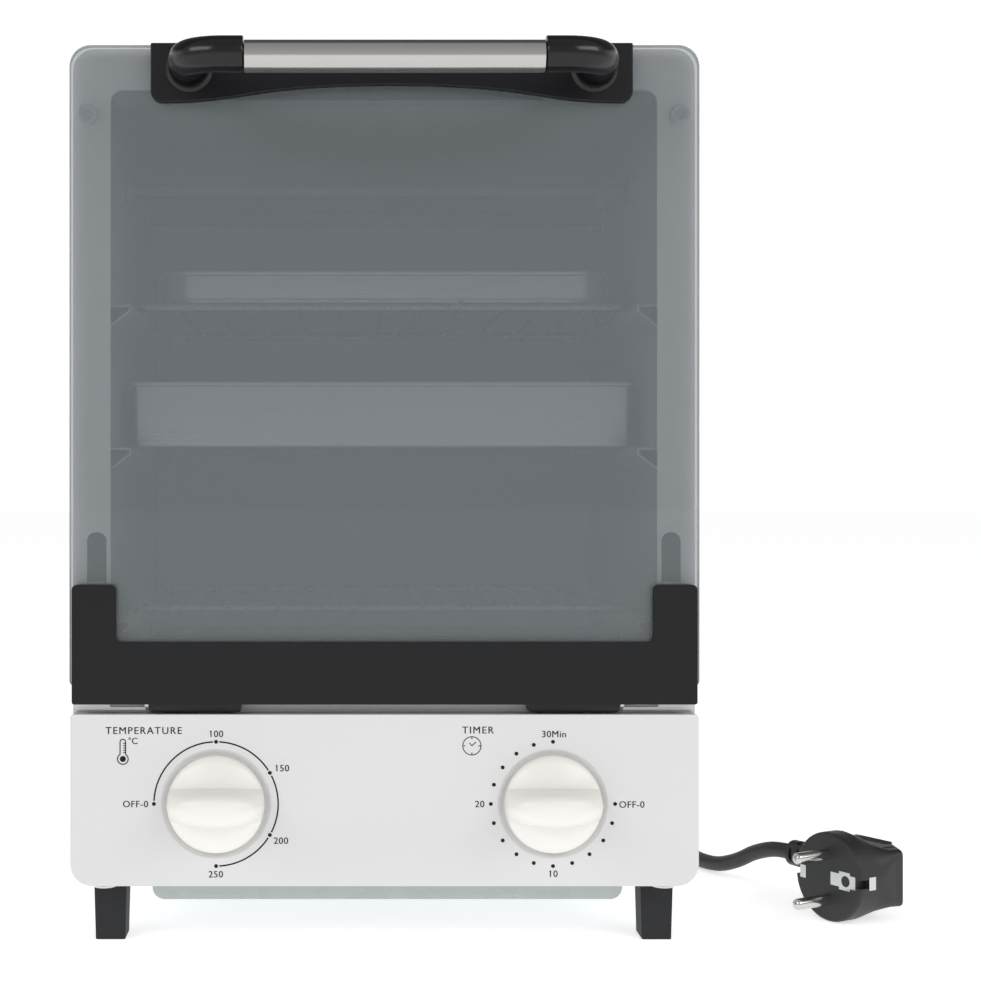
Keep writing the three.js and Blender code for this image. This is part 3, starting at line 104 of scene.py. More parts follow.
class Way(Enum):
    """Ways that the axis of a turned piece can point."""

    RIGHT = (1.0, 0.0, 0.0)
    LEFT = (-1.0, 0.0, 0.0)
    FRONT = (0.0, -1.0, 0.0)
    BACK = (0.0, 1.0, 0.0)
    UP = (0.0, 0.0, 1.0)

    def turn(self) -> Matrix:
        """Return the matrix that turns +Z to this way."""
        return Vector((0, 0, 1)).rotation_difference(Vector(self.value)).to_matrix().to_4x4()


def linear(code: str) -> tuple[float, float, float, float]:
    """Turn an sRGB hex code into a linear colour with full alpha.

    Args:
        code: Six hex digits after a number sign.

    Returns:
        Linear red, green and blue, and an alpha of 1.
    """
    full = 255
    channels = [int(code[start:start + 2], 16) / full for start in (1, 3, 5)]
    toe, slope, shift, power = 0.04045, 12.92, 0.055, 2.4
    bent = [c / slope if c <= toe else ((c + shift) / (1 + shift)) ** power for c in channels]
    return (bent[0], bent[1], bent[2], 1.0)


def add(tree: bpy.types.NodeTree, kind: str, inputs: dict[Any, Any] | None = None,
        **settings: Any) -> bpy.types.Node:
    """Add a node with its settings, its fixed inputs and its links.

    Args:
        tree: Shader or geometry tree that gets the node.
        kind: The node's type name.
        inputs: Socket names or numbers, each with a value, a socket to link, or a list of sockets.
        **settings: Properties of the node.

    Returns:
        The new node.
    """
    node = tree.nodes.new(kind)
    for key, value in settings.items():
        setattr(node, key, value)
    for key, value in (inputs or {}).items():
        for source in value if isinstance(value, list) else [value]:
            if isinstance(source, bpy.types.NodeSocket):
                tree.links.new(source, node.inputs[key])
            else:
                node.inputs[key].default_value = source
    return node


def maths(tree: bpy.types.NodeTree, operation: str, *values: Any) -> bpy.types.NodeSocket:
    """Add a maths node.

    Args:
        tree: Tree that gets the node.
        operation: What it does, by the node's own word.
        *values: Its numbers or sockets, in order.

    Returns:
        The socket of its result.
    """
    return add(tree, "ShaderNodeMath", dict(enumerate(values)), operation=operation).outputs[0]


def noise(tree: bpy.types.NodeTree, place: bpy.types.NodeSocket, size_mm: float,
          layers: float) -> bpy.types.Node:
    """Add a cloudy noise.

    Args:
        tree: The material's tree.
        place: Object coordinates, in metres.
        size_mm: Size of its clouds.
        layers: How many finer layers it has.

    Returns:
        The noise node.
    """
    return add(tree, "ShaderNodeTexNoise", {"Vector": place, "Scale": 1 / (size_mm * MM), "Detail": layers})


# Finishes


@dataclass(frozen=True)
class Finish:
    """A surface as made: its colour, how shiny it is, its grain and its slight unevenness."""

    name: str
    slot: str
    colour: str
    roughness: float
    metallic: float = 0.0
    ior: float = 1.5
    grain_mm: float = 0.6
    grain_depth_mm: float = 0.01
    mottle: float = 0.03
    mottle_mm: float = 40.0
    roughness_spread: float = 0.04

    def material(self) -> bpy.types.Material:
        """Return this finish's material, which is made at its first use."""
        return bpy.data.materials.get(self.name) or self.build()

    def build(self) -> bpy.types.Material:
        """Make the material from the finish's numbers and its pattern.

        Returns:
            The new material.
        """
        material = bpy.data.materials.new(self.name)
        material.use_nodes = True
        tree = material.node_tree
        shader = tree.nodes["Principled BSDF"]
        shader.inputs["Roughness"].default_value = self.roughness
        shader.inputs["Metallic"].default_value = self.metallic
        if self.metallic == 0:
            shader.inputs["IOR"].default_value = self.ior
        place = add(tree, "ShaderNodeTexCoord").outputs["Object"]
        self.dress(tree, shader, place)
        material.diffuse_color = linear(self.colour)
        return material

    def shades(self, share: float) -> tuple[tuple[float, ...], tuple[float, ...]]:
        """Work out a darker and a lighter tone of the colour.

        Args:
            share: How far each of them lies from the colour.

        Returns:
            The darker and the lighter tone.
        """
        tone = linear(self.colour)
        dark = tuple(channel * (1 - share) for channel in tone[:3]) + (1.0,)
        light = tuple(min(1.0, channel * (1 + share)) for channel in tone[:3]) + (1.0,)
        return dark, light

    def dress(self, tree: bpy.types.NodeTree, shader: bpy.types.Node, place: bpy.types.NodeSocket) -> None:
        """Give the shader a moulded or coated surface: soft unevenness and fine grain.

        Args:
            tree: The material's tree.
            shader: Its principled shader.
            place: Object coordinates, in metres.
        """
        patches = noise(tree, place, self.mottle_mm, FINE_LAYERS)
        grain = noise(tree, place, self.grain_mm, LAYERS)
        self.tint(tree, shader, patches.outputs["Fac"])
        self.gloss(tree, shader, grain.outputs["Fac"])
        self.relief(tree, shader, grain.outputs["Fac"])

    def tint(self, tree: bpy.types.NodeTree, shader: bpy.types.Node, share: bpy.types.NodeSocket) -> None:
        """Vary the colour between its darker and its lighter tone.

        Args:
            tree: The material's tree.
            shader: Its principled shader.
            share: The lighter tone's share at each point.
        """
        dark, light = self.shades(self.mottle)
        blend = add(tree, "ShaderNodeMix", {SHARE: share, COLOURS[0]: dark, COLOURS[1]: light},
                    data_type="RGBA")
        tree.links.new(blend.outputs[MIXED_COLOUR], shader.inputs["Base Color"])

    def gloss(self, tree: bpy.types.NodeTree, shader: bpy.types.Node, share: bpy.types.NodeSocket) -> None:
        """Vary the roughness about its middle.

        Args:
            tree: The material's tree.
            shader: Its principled shader.
            share: The noise that it follows.
        """
        spread = add(tree, "ShaderNodeMapRange", {
            "Value": share, "From Min": NOISE_LOW, "From Max": NOISE_HIGH,
            "To Min": max(LEAST_ROUGHNESS, self.roughness - self.roughness_spread),
            "To Max": self.roughness + self.roughness_spread})
        tree.links.new(spread.outputs["Result"], shader.inputs["Roughness"])

    def relief(self, tree: bpy.types.NodeTree, shader: bpy.types.Node, height: bpy.types.NodeSocket) -> None:
        """Raise the grain by its real depth.

        Args:
            tree: The material's tree.
            shader: Its principled shader.
            height: The grain's height as a share of its depth.
        """
        bump = add(tree, "ShaderNodeBump", {
            "Strength": 1.0, "Distance": self.grain_depth_mm * MM, "Height": height})
        tree.links.new(bump.outputs["Normal"], shader.inputs["Normal"])


@dataclass(frozen=True)
class Spangled(Finish):
    """Hot-dip zinc: crystals a few millimetres wide, each with its own tone and gloss."""

    spangle_mm: float = 7.0

    def dress(self, tree: bpy.types.NodeTree, shader: bpy.types.Node, place: bpy.types.NodeSocket) -> None:
        """Give each zinc crystal a tone, a gloss and a faint step.

        Args:
            tree: The material's tree.
            shader: Its principled shader.
            place: Object coordinates, in metres.
        """
        bent = noise(tree, place, self.spangle_mm, SOFT_LAYERS)
        shifted = add(tree, "ShaderNodeVectorMath", {
            "Vector": bent.outputs["Color"], "Scale": self.spangle_mm * MM / 2}, operation="SCALE")
        around = add(tree, "ShaderNodeVectorMath", {0: place, 1: shifted.outputs["Vector"]}, operation="ADD")
        cells = add(tree, "ShaderNodeTexVoronoi", {
            "Vector": around.outputs["Vector"], "Scale": 1 / (self.spangle_mm * MM)})
        tone = add(tree, "ShaderNodeSeparateColor", {"Color": cells.outputs["Color"]})
        fine = noise(tree, place, self.grain_mm, FINE_LAYERS)
        both = maths(tree, "ADD", tone.outputs["Red"], fine.outputs["Fac"])
        mean = maths(tree, "MULTIPLY", both, 1 / 2)
        self.tint(tree, shader, mean)
        self.gloss(tree, shader, mean)
        self.relief(tree, shader, mean)


@dataclass(frozen=True)
class Brushed(Finish):
    """Metal that was ground along one way: streaks long that way and a fraction of a millimetre apart."""

    streak_mm: float = 60.0
    along: Way = Way.RIGHT

    def dress(self, tree: bpy.types.NodeTree, shader: bpy.types.Node, place: bpy.types.NodeSocket) -> None:
        """Draw the grinding marks as noise that is stretched along their way.

        Args:
            tree: The material's tree.
            shader: Its principled shader.
            place: Object coordinates, in metres.
        """
        fine = 1 / (self.grain_mm * MM)
        long = 1 / (self.streak_mm * MM)
        scale = tuple(long if abs(part) > 0 else fine for part in self.along.value)
        stretched = add(tree, "ShaderNodeMapping", {"Vector": place, "Scale": scale})
        streaks = add(tree, "ShaderNodeTexNoise", {
            "Vector": stretched.outputs["Vector"], "Scale": 1.0, "Detail": FINE_LAYERS})
        patches = noise(tree, place, self.mottle_mm, LAYERS)
        self.tint(tree, shader, patches.outputs["Fac"])
        self.gloss(tree, shader, streaks.outputs["Fac"])
        self.relief(tree, shader, streaks.outputs["Fac"])


@dataclass(frozen=True)
class TintedGlass(Finish):
    """Grey tempered glass: each face lets a share of the light through, and the rest is a glossy grey veil
    whose paleness is painted reflection of the room.
    """

    cover: float = 0.25

    def dress(self, tree: bpy.types.NodeTree, shader: bpy.types.Node, place: bpy.types.NodeSocket) -> None:
        """Let light through and keep the faces clean, with a trace of handling marks.

        Args:
            tree: The material's tree.
            shader: Its principled shader.
            place: Object coordinates, in metres.
        """
        smears = noise(tree, place, self.mottle_mm, LAYERS)
        # The tint is the veil's grey, a painted reflection of the room, with faint handling marks in it
        self.tint(tree, shader, smears.outputs["Fac"])
        self.gloss(tree, shader, smears.outputs["Fac"])
        shader.inputs["Alpha"].default_value = self.cover


# Baked white enamel on steel: bright, satin, with the faint orange peel of a sprayed coat
ENAMEL = Finish("baked_white_enamel", "white_enamel", "#D5D5D5", 0.36, grain_mm=1.6, grain_depth_mm=0.006,
                mottle=0.012, mottle_mm=70)
# Moulded polystyrene: pale grey, a little softer than the enamel round it
BUMPER = Finish("moulded_polystyrene", "bumper_plastic", "#BEC4C4", 0.42, ior=1.59, grain_mm=0.7)
# Hot-dip galvanised sheet: blue-grey zinc crystals, satin
GALVANISED = Spangled("hot_dip_galvanised_steel", "galvanised_sheet", "#ABB2B2", 0.42, metallic=0.85,
                      grain_mm=0.5, grain_depth_mm=0.006, mottle=0.15, roughness_spread=0.1)
# Aluminised sheet inside the chamber: drawn smooth, dulled and greyed by heat
LINER = Spangled("aluminised_steel", "galvanised_sheet", "#8C9193", 0.6, metallic=0.25, grain_mm=2.0,
                 grain_depth_mm=0.0004, mottle=0.03, roughness_spread=0.04, spangle_mm=4.0)
# Oxidised nickel steel: the heaters' sheath, brown-grey and matt from use
SHEATH = Finish("oxidised_nickel_steel", "heater_sheath", "#5E5B57", 0.55, metallic=0.8, grain_mm=0.5,
                grain_depth_mm=0.01, mottle=0.12, mottle_mm=18)
# Steatite: the heaters' end bushes, unglazed and browned by heat
STEATITE = Finish("pressed_steatite", "heater_sheath", "#7F7A71", 0.7, ior=1.6, grain_mm=0.4)
# Chromed steel wire: with the slight waviness of drawn wire
CHROMED = Finish("chromed_steel_wire", "chromed_wire", "#8A8C8E", 0.3, metallic=1.0, grain_mm=3.0,
                 grain_depth_mm=0.004, mottle=0.03, roughness_spread=0.05)
# Stainless sheet: trays pressed from bright annealed coil, whose rolling grain hardly shows
TRAY_STEEL = Brushed("bright_annealed_stainless", "stainless_steel", "#BEC2C4", 0.3, metallic=0.85,
                     grain_mm=0.3, grain_depth_mm=0.0004, mottle=0.03, roughness_spread=0.03)
# Stainless tube: polished along its length
TUBE_STEEL = Brushed("polished_stainless_tube", "stainless_steel", "#BAB7B5", 0.16, metallic=1.0,
                     grain_mm=0.2, grain_depth_mm=0.001, mottle=0.02, roughness_spread=0.05)
# Zinc-plated steel: stampings and switch bodies, dull and slightly cloudy
ZINC = Finish("zinc_plated_steel", "zinc_plated_steel", "#AEB2B3", 0.38, metallic=0.9, grain_mm=0.8,
              grain_depth_mm=0.004, mottle=0.08, mottle_mm=9)
# ABS: ivory knobs, glossy from the mould
IVORY = Finish("moulded_ivory_abs", "ivory_plastic", "#EAE7E2", 0.3, ior=1.53, grain_mm=4.0,
               grain_depth_mm=0.0004, mottle=0.008, roughness_spread=0.02)
# Tempered glass, tinted grey, with a pale grey veil over it that is painted reflection of the room
GLASS = TintedGlass("smoked_glass_painted_reflection", "smoked_glass", "#7E8589", 0.04, ior=1.5, mottle=0.015,
                    mottle_mm=120, roughness_spread=0.02, cover=0.4)
# The same glass on its ground and polished edge: paler and nearly closed to the eye, partly the edge's own
# tone and partly a painted highlight along the pane's border
GLASS_EDGE_AND_HIGHLIGHT = TintedGlass("glass_edge_painted_highlight", "smoked_glass", "#A9B4B6", 0.2, ior=1.5, mottle=0.03,
                         mottle_mm=30, roughness_spread=0.05, cover=0.85)
# Glass-filled nylon: the door's black frame and brackets, satin
NYLON = Finish("glass_filled_nylon", "black_plastic", "#0B0C0F", 0.38, ior=1.36, grain_mm=0.35,
               grain_depth_mm=0.012, mottle=0.06, mottle_mm=30)
# Phenolic: the handle's black elbows, polished
PHENOLIC = Finish("polished_phenolic", "gloss_black_plastic", "#0B0B0E", 0.2, ior=1.42, grain_mm=6.0,
                  grain_depth_mm=0.0008, mottle=0.03, roughness_spread=0.01)
# Hard rubber: the feet, dark grey and matt
FOOT_RUBBER = Finish("hard_rubber", "foot_rubber", "#1A1B1E", 0.62, ior=1.42, grain_mm=0.5,
                     grain_depth_mm=0.015, mottle=0.05, mottle_mm=20)
# PVC: the cord's sheath and the boots, satin black
SHEATHING = Finish("extruded_pvc", "cord_sheath", "#17181A", 0.44, ior=1.53, grain_mm=0.5,
                   grain_depth_mm=0.01, mottle=0.05, mottle_mm=25)
# PVC again, moulded: the plug, with a faint spark-eroded grain
PLUG_PVC = Finish("moulded_pvc", "plug_plastic", "#1A1B1D", 0.5, ior=1.53, grain_mm=0.4,
                  grain_depth_mm=0.02, mottle=0.06, mottle_mm=12)
# Nickel-plated brass: the plug's pins and earth contacts
NICKEL = Finish("nickel_plated_brass", "plated_brass", "#C9C9C5", 0.16, metallic=1.0, grain_mm=1.5,
                grain_depth_mm=0.002, mottle=0.03)
# Screen ink on the panel: flat, nearly black
INK = Finish("screen_ink", "white_enamel", "#0D0D0F", 0.6, ior=1.35, grain_mm=0.3, grain_depth_mm=0.002)


# Mesh work


def link(name: str, mesh: bpy.types.Mesh) -> bpy.types.Object:
    """Put a mesh into the scene as a piece at the origin.

    Args:
        name: Name of the piece.
        mesh: Its mesh.

    Returns:
        The piece.
    """
    piece = bpy.data.objects.new(name, mesh)
    bpy.context.scene.collection.objects.link(piece)
    return piece


def mesh_of(shape: bmesh.types.BMesh, name: str) -> bpy.types.Mesh:
    """Turn an edit mesh into a plain one whose faces point outwards, with smooth rounds and sharp edges.

    Args:
        shape: The edit mesh, which is freed.
        name: Name of the new mesh.

    Returns:
        The new mesh.
    """
    bmesh.ops.remove_doubles(shape, verts=shape.verts, dist=WELD_DISTANCE)
    bmesh.ops.recalc_face_normals(shape, faces=shape.faces)
    mesh = bpy.data.meshes.new(name)
    shape.to_mesh(mesh)
    shape.free()
    mesh.shade_smooth()
    mesh.set_sharp_from_angle(angle=SMOOTH_ANGLE)
    return mesh


def skin(rings: Sequence[Sequence[Vector]], name: str) -> bpy.types.Mesh:
    """Join rings of points side by side into one closed skin. A ring of one point is a pole.

    Args:
        rings: Rings in order, all with the same count but for poles.
        name: Name of the new mesh.

    Returns:
        The closed mesh.
    """
    shape = bmesh.new()
    loops = [[shape.verts.new(point) for point in ring] for ring in rings]
    for near, far in zip(loops, loops[1:]):
        count = max(len(near), len(far))
        for side in range(count):
            after = (side + 1) % count
            if len(near) == 1:
                corners = [near[0], far[after], far[side]]
            elif len(far) == 1:
                corners = [near[side], near[after], far[0]]
            else:
                corners = [near[side], near[after], far[after], far[side]]
            shape.faces.new(corners)
    for loop in (loops[0], loops[-1]):
        if len(loop) > 1:
            shape.faces.new(loop)
    return mesh_of(shape, name)


def lathe(profile: Sequence[tuple[float, float]], way: Way, origin: Vector, name: str,
          steps: int = 64) -> bpy.types.Mesh:
    """Turn a profile about an axis.

    Args:
        profile: Pairs of radius and place along the axis, in metres, from one pole to the other.
        way: The way that the axis points.
        origin: The point that the profile is measured from.
        name: Name of the new mesh.
        steps: Sides of the turned form.

    Returns:
        The closed mesh.
    """
    seat = Matrix.Translation(origin) @ way.turn()
    rings = []
    for radius, along in profile:
        sides = steps if radius > WELD_DISTANCE else 1
        angles = [2 * math.pi * side / sides for side in range(sides)]
        rings.append([seat @ Vector((radius * math.cos(a), radius * math.sin(a), along)) for a in angles])
    return skin(rings, name)


def sweep(path: Sequence[Vector], radii: Sequence[float], name: str, sides: int = 32) -> bpy.types.Mesh:
    """Make a round bar along a path, with its own radius at each point.

    Args:
        path: Points of the middle line.
        radii: The radius at each point.
        name: Name of the new mesh.
        sides: Sides of the bar.

    Returns:
        The closed mesh.
    """
    rings = []
    across = Vector((0, 0, 1))
    for index, (point, radius) in enumerate(zip(path, radii)):
        run = (path[min(index + 1, len(path) - 1)] - path[max(index - 1, 0)]).normalized()
        across = (across - run * across.dot(run)).normalized()
        rise = run.cross(across)
        angles = [2 * math.pi * side / sides for side in range(sides)]
        rings.append([point + across * radius * math.cos(a) + rise * radius * math.sin(a) for a in angles])
    return skin(rings, name)


def rounded_rectangle(half_x: float, half_y: float, radius: float, steps: int) -> list[tuple[float, float]]:
    """Return the points of a rectangle with round corners, anticlockwise.

    Args:
        half_x: Half of its width.
        half_y: Half of its depth.
        radius: Radius of its corners.
        steps: Steps in each corner.

    Returns:
        Pairs of x and y.
    """
    points = []
    for side_x, side_y, start in ((1, -1, -90), (1, 1, 0), (-1, 1, 90), (-1, -1, 180)):
        for step in range(steps + 1):
            angle = math.radians(start + 90 * step / steps)
            points.append((side_x * (half_x - radius) + radius * math.cos(angle),
                           side_y * (half_y - radius) + radius * math.sin(angle)))
    return points


def box_mesh(low: Sequence[float], high: Sequence[float], name: str) -> bpy.types.Mesh:
    """Make a closed box.

    Args:
        low: Its lowest corner, in metres.
        high: Its highest corner.
        name: Name of the new mesh.

    Returns:
        The closed mesh.
    """
    corners = ((low[0], low[1]), (high[0], low[1]), (high[0], high[1]), (low[0], high[1]))
    return skin([[Vector((x, y, z)) for x, y in corners] for z in (low[2], high[2])], name)


def span(side: int, near: float, far: float) -> list[float]:
    """Return two distances on one side of zero, the lower place first."""
    return sorted((side * near, side * far))


def settle(piece: bpy.types.Object) -> bpy.types.Object:
    """Replace a piece's mesh by what its modifiers make of it, and take the modifiers off.

    Args:
        piece: The piece.

    Returns:
        The same piece.
    """
    graph = bpy.context.evaluated_depsgraph_get()
    mesh = bpy.data.meshes.new_from_object(piece.evaluated_get(graph), depsgraph=graph)
    piece.modifiers.clear()
    piece.data = mesh
    return piece


def joined(meshes: Iterable[bpy.types.Mesh], name: str) -> bpy.types.Mesh:
    """Put several closed meshes into one, each kept as it is.

    Args:
        meshes: The closed meshes.
        name: Name of the new mesh.

    Returns:
        The new mesh.
    """
    shape = bmesh.new()
    for mesh in meshes:
        shape.from_mesh(mesh)
    merged = bpy.data.meshes.new(name)
    shape.to_mesh(merged)
    shape.free()
    merged.shade_smooth()
    merged.set_sharp_from_angle(angle=SMOOTH_ANGLE)
    return merged


def moulded(meshes: Iterable[bpy.types.Mesh], name: str, voxel: float, rounds: int) -> bpy.types.Object:
    """Melt closed meshes that cross into one moulded form with soft inner corners.

    Args:
        meshes: The closed meshes.
        name: Name of the piece.
        voxel: Size of the steps that they are melted with, in metres.
        rounds: How many times the form is smoothed.

    Returns:
        The piece.
    """
    piece = link(name, joined(meshes, name))
    melt = piece.modifiers.new("melt", "REMESH")
    melt.mode = "VOXEL"
    melt.voxel_size = voxel
    melt.use_smooth_shade = True
    ease = piece.modifiers.new("ease", "SMOOTH")
    ease.factor = 1 / 2
    ease.iterations = rounds
    return settle(piece)


def cut_out(piece: bpy.types.Object, tools: Iterable[bpy.types.Mesh]) -> bpy.types.Object:
    """Cut closed meshes that stand apart out of a piece.

    Args:
        piece: The piece, whose mesh is replaced.
        tools: The meshes that are cut out of it.

    Returns:
        The same piece.
    """
    cutter = link("cutter", joined(tools, "cutter"))
    cut = piece.modifiers.new("cut", "BOOLEAN")
    cut.operation = "DIFFERENCE"
    cut.object = cutter
    settle(piece)
    bpy.data.objects.remove(cutter)
    piece.data.set_sharp_from_angle(angle=SMOOTH_ANGLE)
    return piece


def fit(piece: bpy.types.Object, body: Body, finish: Finish,
        stands_for: Sequence[str] = ()) -> bpy.types.Object:
    """Dress a piece, seat it on its body and report it.

    Args:
        piece: The finished piece.
        body: The body that it rides on.
        finish: Its finish.
        stands_for: The solids that it replaces.

    Returns:
        The same piece.
    """
    if not piece.data.materials:
        piece.data.materials.append(finish.material())
    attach(piece, body.value)
    if stands_for:
        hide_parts(*stands_for)
    LOG.info("%s rides on %s", piece.name, body.value)
    return piece


@dataclass
class Frame:
    """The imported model: its solids by name."""

    nodes: dict[str, bpy.types.Object]

    def eased(self, node: str, body: Body, finish: Finish, edge_mm: float,
              segments: int = 3) -> bpy.types.Object:
        """Replace a solid by a copy whose edges are rounded as the real piece's are.

        Args:
            node: The solid.
            body: The body that it rides on.
            finish: Its finish.
            edge_mm: Radius of its edges.
            segments: Steps in each rounded edge.

        Returns:
            The new piece.
        """
        shape = bmesh.new()
        shape.from_mesh(self.nodes[node].data)
        bmesh.ops.remove_doubles(shape, verts=shape.verts, dist=WELD_DISTANCE)
        bmesh.ops.dissolve_limit(shape, angle_limit=FLAT_ANGLE, verts=shape.verts, edges=shape.edges)
        mesh = bpy.data.meshes.new(node)
        shape.to_mesh(mesh)
        shape.free()
        mesh.shade_smooth()
        mesh.set_sharp_from_angle(angle=SMOOTH_ANGLE)
        for layer in list(mesh.uv_layers):
            mesh.uv_layers.remove(layer)
        piece = link(f"{node}_finished", mesh)
        edge = piece.modifiers.new("edge", "BEVEL")
        edge.width = edge_mm * MM
        edge.segments = segments
        edge.limit_method = "ANGLE"
        edge.angle_limit = SMOOTH_ANGLE
        edge.harden_normals = True
        settle(piece)
        piece.data.materials.clear()
        return fit(piece, body, finish, [node])


# Geometry node trees


def new_tree(name: str, sizes: dict[str, str]) -> tuple[bpy.types.NodeTree, bpy.types.Node]:
    """Start a geometry tree with named sizes.

    Args:
        name: Name of the tree.
        sizes: Name of each input with its socket type's last word, such as Float.

    Returns:
        The tree and its input node.
    """
    tree = bpy.data.node_groups.new(name, "GeometryNodeTree")
    tree.interface.new_socket("Geometry", in_out="INPUT", socket_type="NodeSocketGeometry")
    for label, kind in sizes.items():
        tree.interface.new_socket(label, in_out="INPUT", socket_type=f"NodeSocket{kind}")
    tree.interface.new_socket("Geometry", in_out="OUTPUT", socket_type="NodeSocketGeometry")
    return tree, add(tree, "NodeGroupInput")


def close_tree(tree: bpy.types.NodeTree, geometry: bpy.types.NodeSocket,
               material: bpy.types.NodeSocket) -> None:
    """End a geometry tree in realized instances with their material.

    Args:
        tree: The tree.
        geometry: What it made.
        material: The input that gives the material.
    """
    smooth = add(tree, "GeometryNodeSetShadeSmooth", {"Geometry": geometry})
    real = add(tree, "GeometryNodeRealizeInstances", {"Geometry": smooth.outputs[0]})
    dressed = add(tree, "GeometryNodeSetMaterial", {"Geometry": real.outputs[0], "Material": material})
    add(tree, "NodeGroupOutput", {0: dressed.outputs[0]})


def grown(name: str, tree: bpy.types.NodeTree, values: dict[str, Any],
          seed_mesh: bpy.types.Mesh | None = None) -> bpy.types.Object:
    """Run a geometry tree and keep its result as a plain mesh.

    Args:
        name: Name of the piece.
        tree: The geometry tree.
        values: Value of each named input.
        seed_mesh: The mesh that the tree starts from, if it uses one.

    Returns:
        The piece.
    """
    piece = link(name, seed_mesh or bpy.data.meshes.new(name))
    modifier = piece.modifiers.new(tree.name, "NODES")
    modifier.node_group = tree
    for item in tree.interface.items_tree:
        if item.in_out == "INPUT" and item.name in values:
            modifier[item.identifier] = values[item.name]
    return settle(piece)


def wire_rack_tree() -> bpy.types.NodeTree:
    """Build the tree of a wire rack: a bent frame with rods from front to back.

    Returns:
        The tree, with the rack's sizes as its inputs.
    """
    tree, given = new_tree("wire_rack", {
        "Width": "Float", "Depth": "Float", "Corner": "Float", "Frame Radius": "Float", "Rod Radius": "Float",
        "Rods": "Int", "Pitch": "Float", "Centre": "Vector", "Material": "Material"})
    size = given.outputs
    outline = add(tree, "GeometryNodeCurvePrimitiveQuadrilateral", {
        "Width": size["Width"], "Height": size["Depth"]})
    bent = add(tree, "GeometryNodeFilletCurve", {
        "Curve": outline.outputs[0], "Radius": size["Corner"], "Count": RACK_CORNER_STEPS}, mode="POLY")
    wire = add(tree, "GeometryNodeCurvePrimitiveCircle", {
        "Resolution": FRAME_WIRE_SIDES, "Radius": size["Frame Radius"]})
    frame = add(tree, "GeometryNodeCurveToMesh", {"Curve": bent.outputs[0], "Profile Curve": wire.outputs[0]})
    start = add(tree, "ShaderNodeCombineXYZ", {"Y": maths(tree, "MULTIPLY", size["Depth"], -1 / 2)})
    end = add(tree, "ShaderNodeCombineXYZ", {"Y": maths(tree, "MULTIPLY", size["Depth"], 1 / 2)})
    run = add(tree, "GeometryNodeCurvePrimitiveLine", {"Start": start.outputs[0], "End": end.outputs[0]})
    thin = add(tree, "GeometryNodeCurvePrimitiveCircle", {
        "Resolution": ROD_SIDES, "Radius": size["Rod Radius"]})
    rod = add(tree, "GeometryNodeCurveToMesh", {
        "Curve": run.outputs[0], "Profile Curve": thin.outputs[0], "Fill Caps": True})
    gaps = maths(tree, "SUBTRACT", size["Rods"], 1.0)
    width = maths(tree, "MULTIPLY", gaps, size["Pitch"])
    first = add(tree, "ShaderNodeCombineXYZ", {"X": maths(tree, "MULTIPLY", width, -1 / 2)})
    step = add(tree, "ShaderNodeCombineXYZ", {"X": size["Pitch"]})
    row = add(tree, "GeometryNodeMeshLine", {
        "Count": size["Rods"], "Start Location": first.outputs[0], "Offset": step.outputs[0]})
    rods = add(tree, "GeometryNodeInstanceOnPoints", {"Points": row.outputs[0], "Instance": rod.outputs[0]})
    whole = add(tree, "GeometryNodeJoinGeometry", {0: [frame.outputs[0], rods.outputs[0]]})
    moved = add(tree, "GeometryNodeTransform", {"Geometry": whole.outputs[0], "Translation": size["Centre"]})
    close_tree(tree, moved.outputs[0], size["Material"])
    return tree


def on_points_tree() -> bpy.types.NodeTree:
    """Build the tree that sets a small form on every point of the mesh that it starts from.

    Returns:
        The tree, with the form and its material as inputs.
    """
    tree, given = new_tree("set_on_points", {"Form": "Object", "Material": "Material"})
    form = add(tree, "GeometryNodeObjectInfo", {"Object": given.outputs["Form"]})
    sets = add(tree, "GeometryNodeInstanceOnPoints", {
        "Points": given.outputs["Geometry"], "Instance": form.outputs["Geometry"]})
    close_tree(tree, sets.outputs[0], given.outputs["Material"])
    return tree


def dial_dots_tree() -> bpy.types.NodeTree:
    """Build the tree of a dial's printed dots, evenly turned about a centre on a plane that faces the front.

    Returns:
        The tree, with the dial's sizes as its inputs.
    """
    tree, given = new_tree("dial_dots", {
        "Count": "Int", "Step": "Float", "Ring Radius": "Float", "Dot Radius": "Float", "Thickness": "Float",
        "Centre": "Vector", "Material": "Material"})
    size = given.outputs
    dot = add(tree, "GeometryNodeMeshCylinder", {
        "Vertices": DOT_SIDES, "Radius": size["Dot Radius"], "Depth": size["Thickness"]})
    upright = add(tree, "GeometryNodeTransform", {
        "Geometry": dot.outputs[0], "Rotation": (math.pi / 2, 0, 0)})
    marks = add(tree, "GeometryNodePoints", {"Count": size["Count"]})
    index = add(tree, "GeometryNodeInputIndex")
    angle = maths(tree, "MULTIPLY", index.outputs[0], size["Step"])
    across = maths(tree, "MULTIPLY", maths(tree, "COSINE", angle), size["Ring Radius"])
    down = maths(tree, "MULTIPLY", maths(tree, "SINE", angle), size["Ring Radius"])
    spot = add(tree, "ShaderNodeCombineXYZ", {"X": across, "Z": maths(tree, "MULTIPLY", down, -1.0)})
    around = add(tree, "GeometryNodeSetPosition", {
        "Geometry": marks.outputs[0], "Position": spot.outputs[0]})
    dots = add(tree, "GeometryNodeInstanceOnPoints", {
        "Points": around.outputs[0], "Instance": upright.outputs[0]})
    moved = add(tree, "GeometryNodeTransform", {"Geometry": dots.outputs[0], "Translation": size["Centre"]})
    close_tree(tree, moved.outputs[0], size["Material"])
    return tree


# Studio


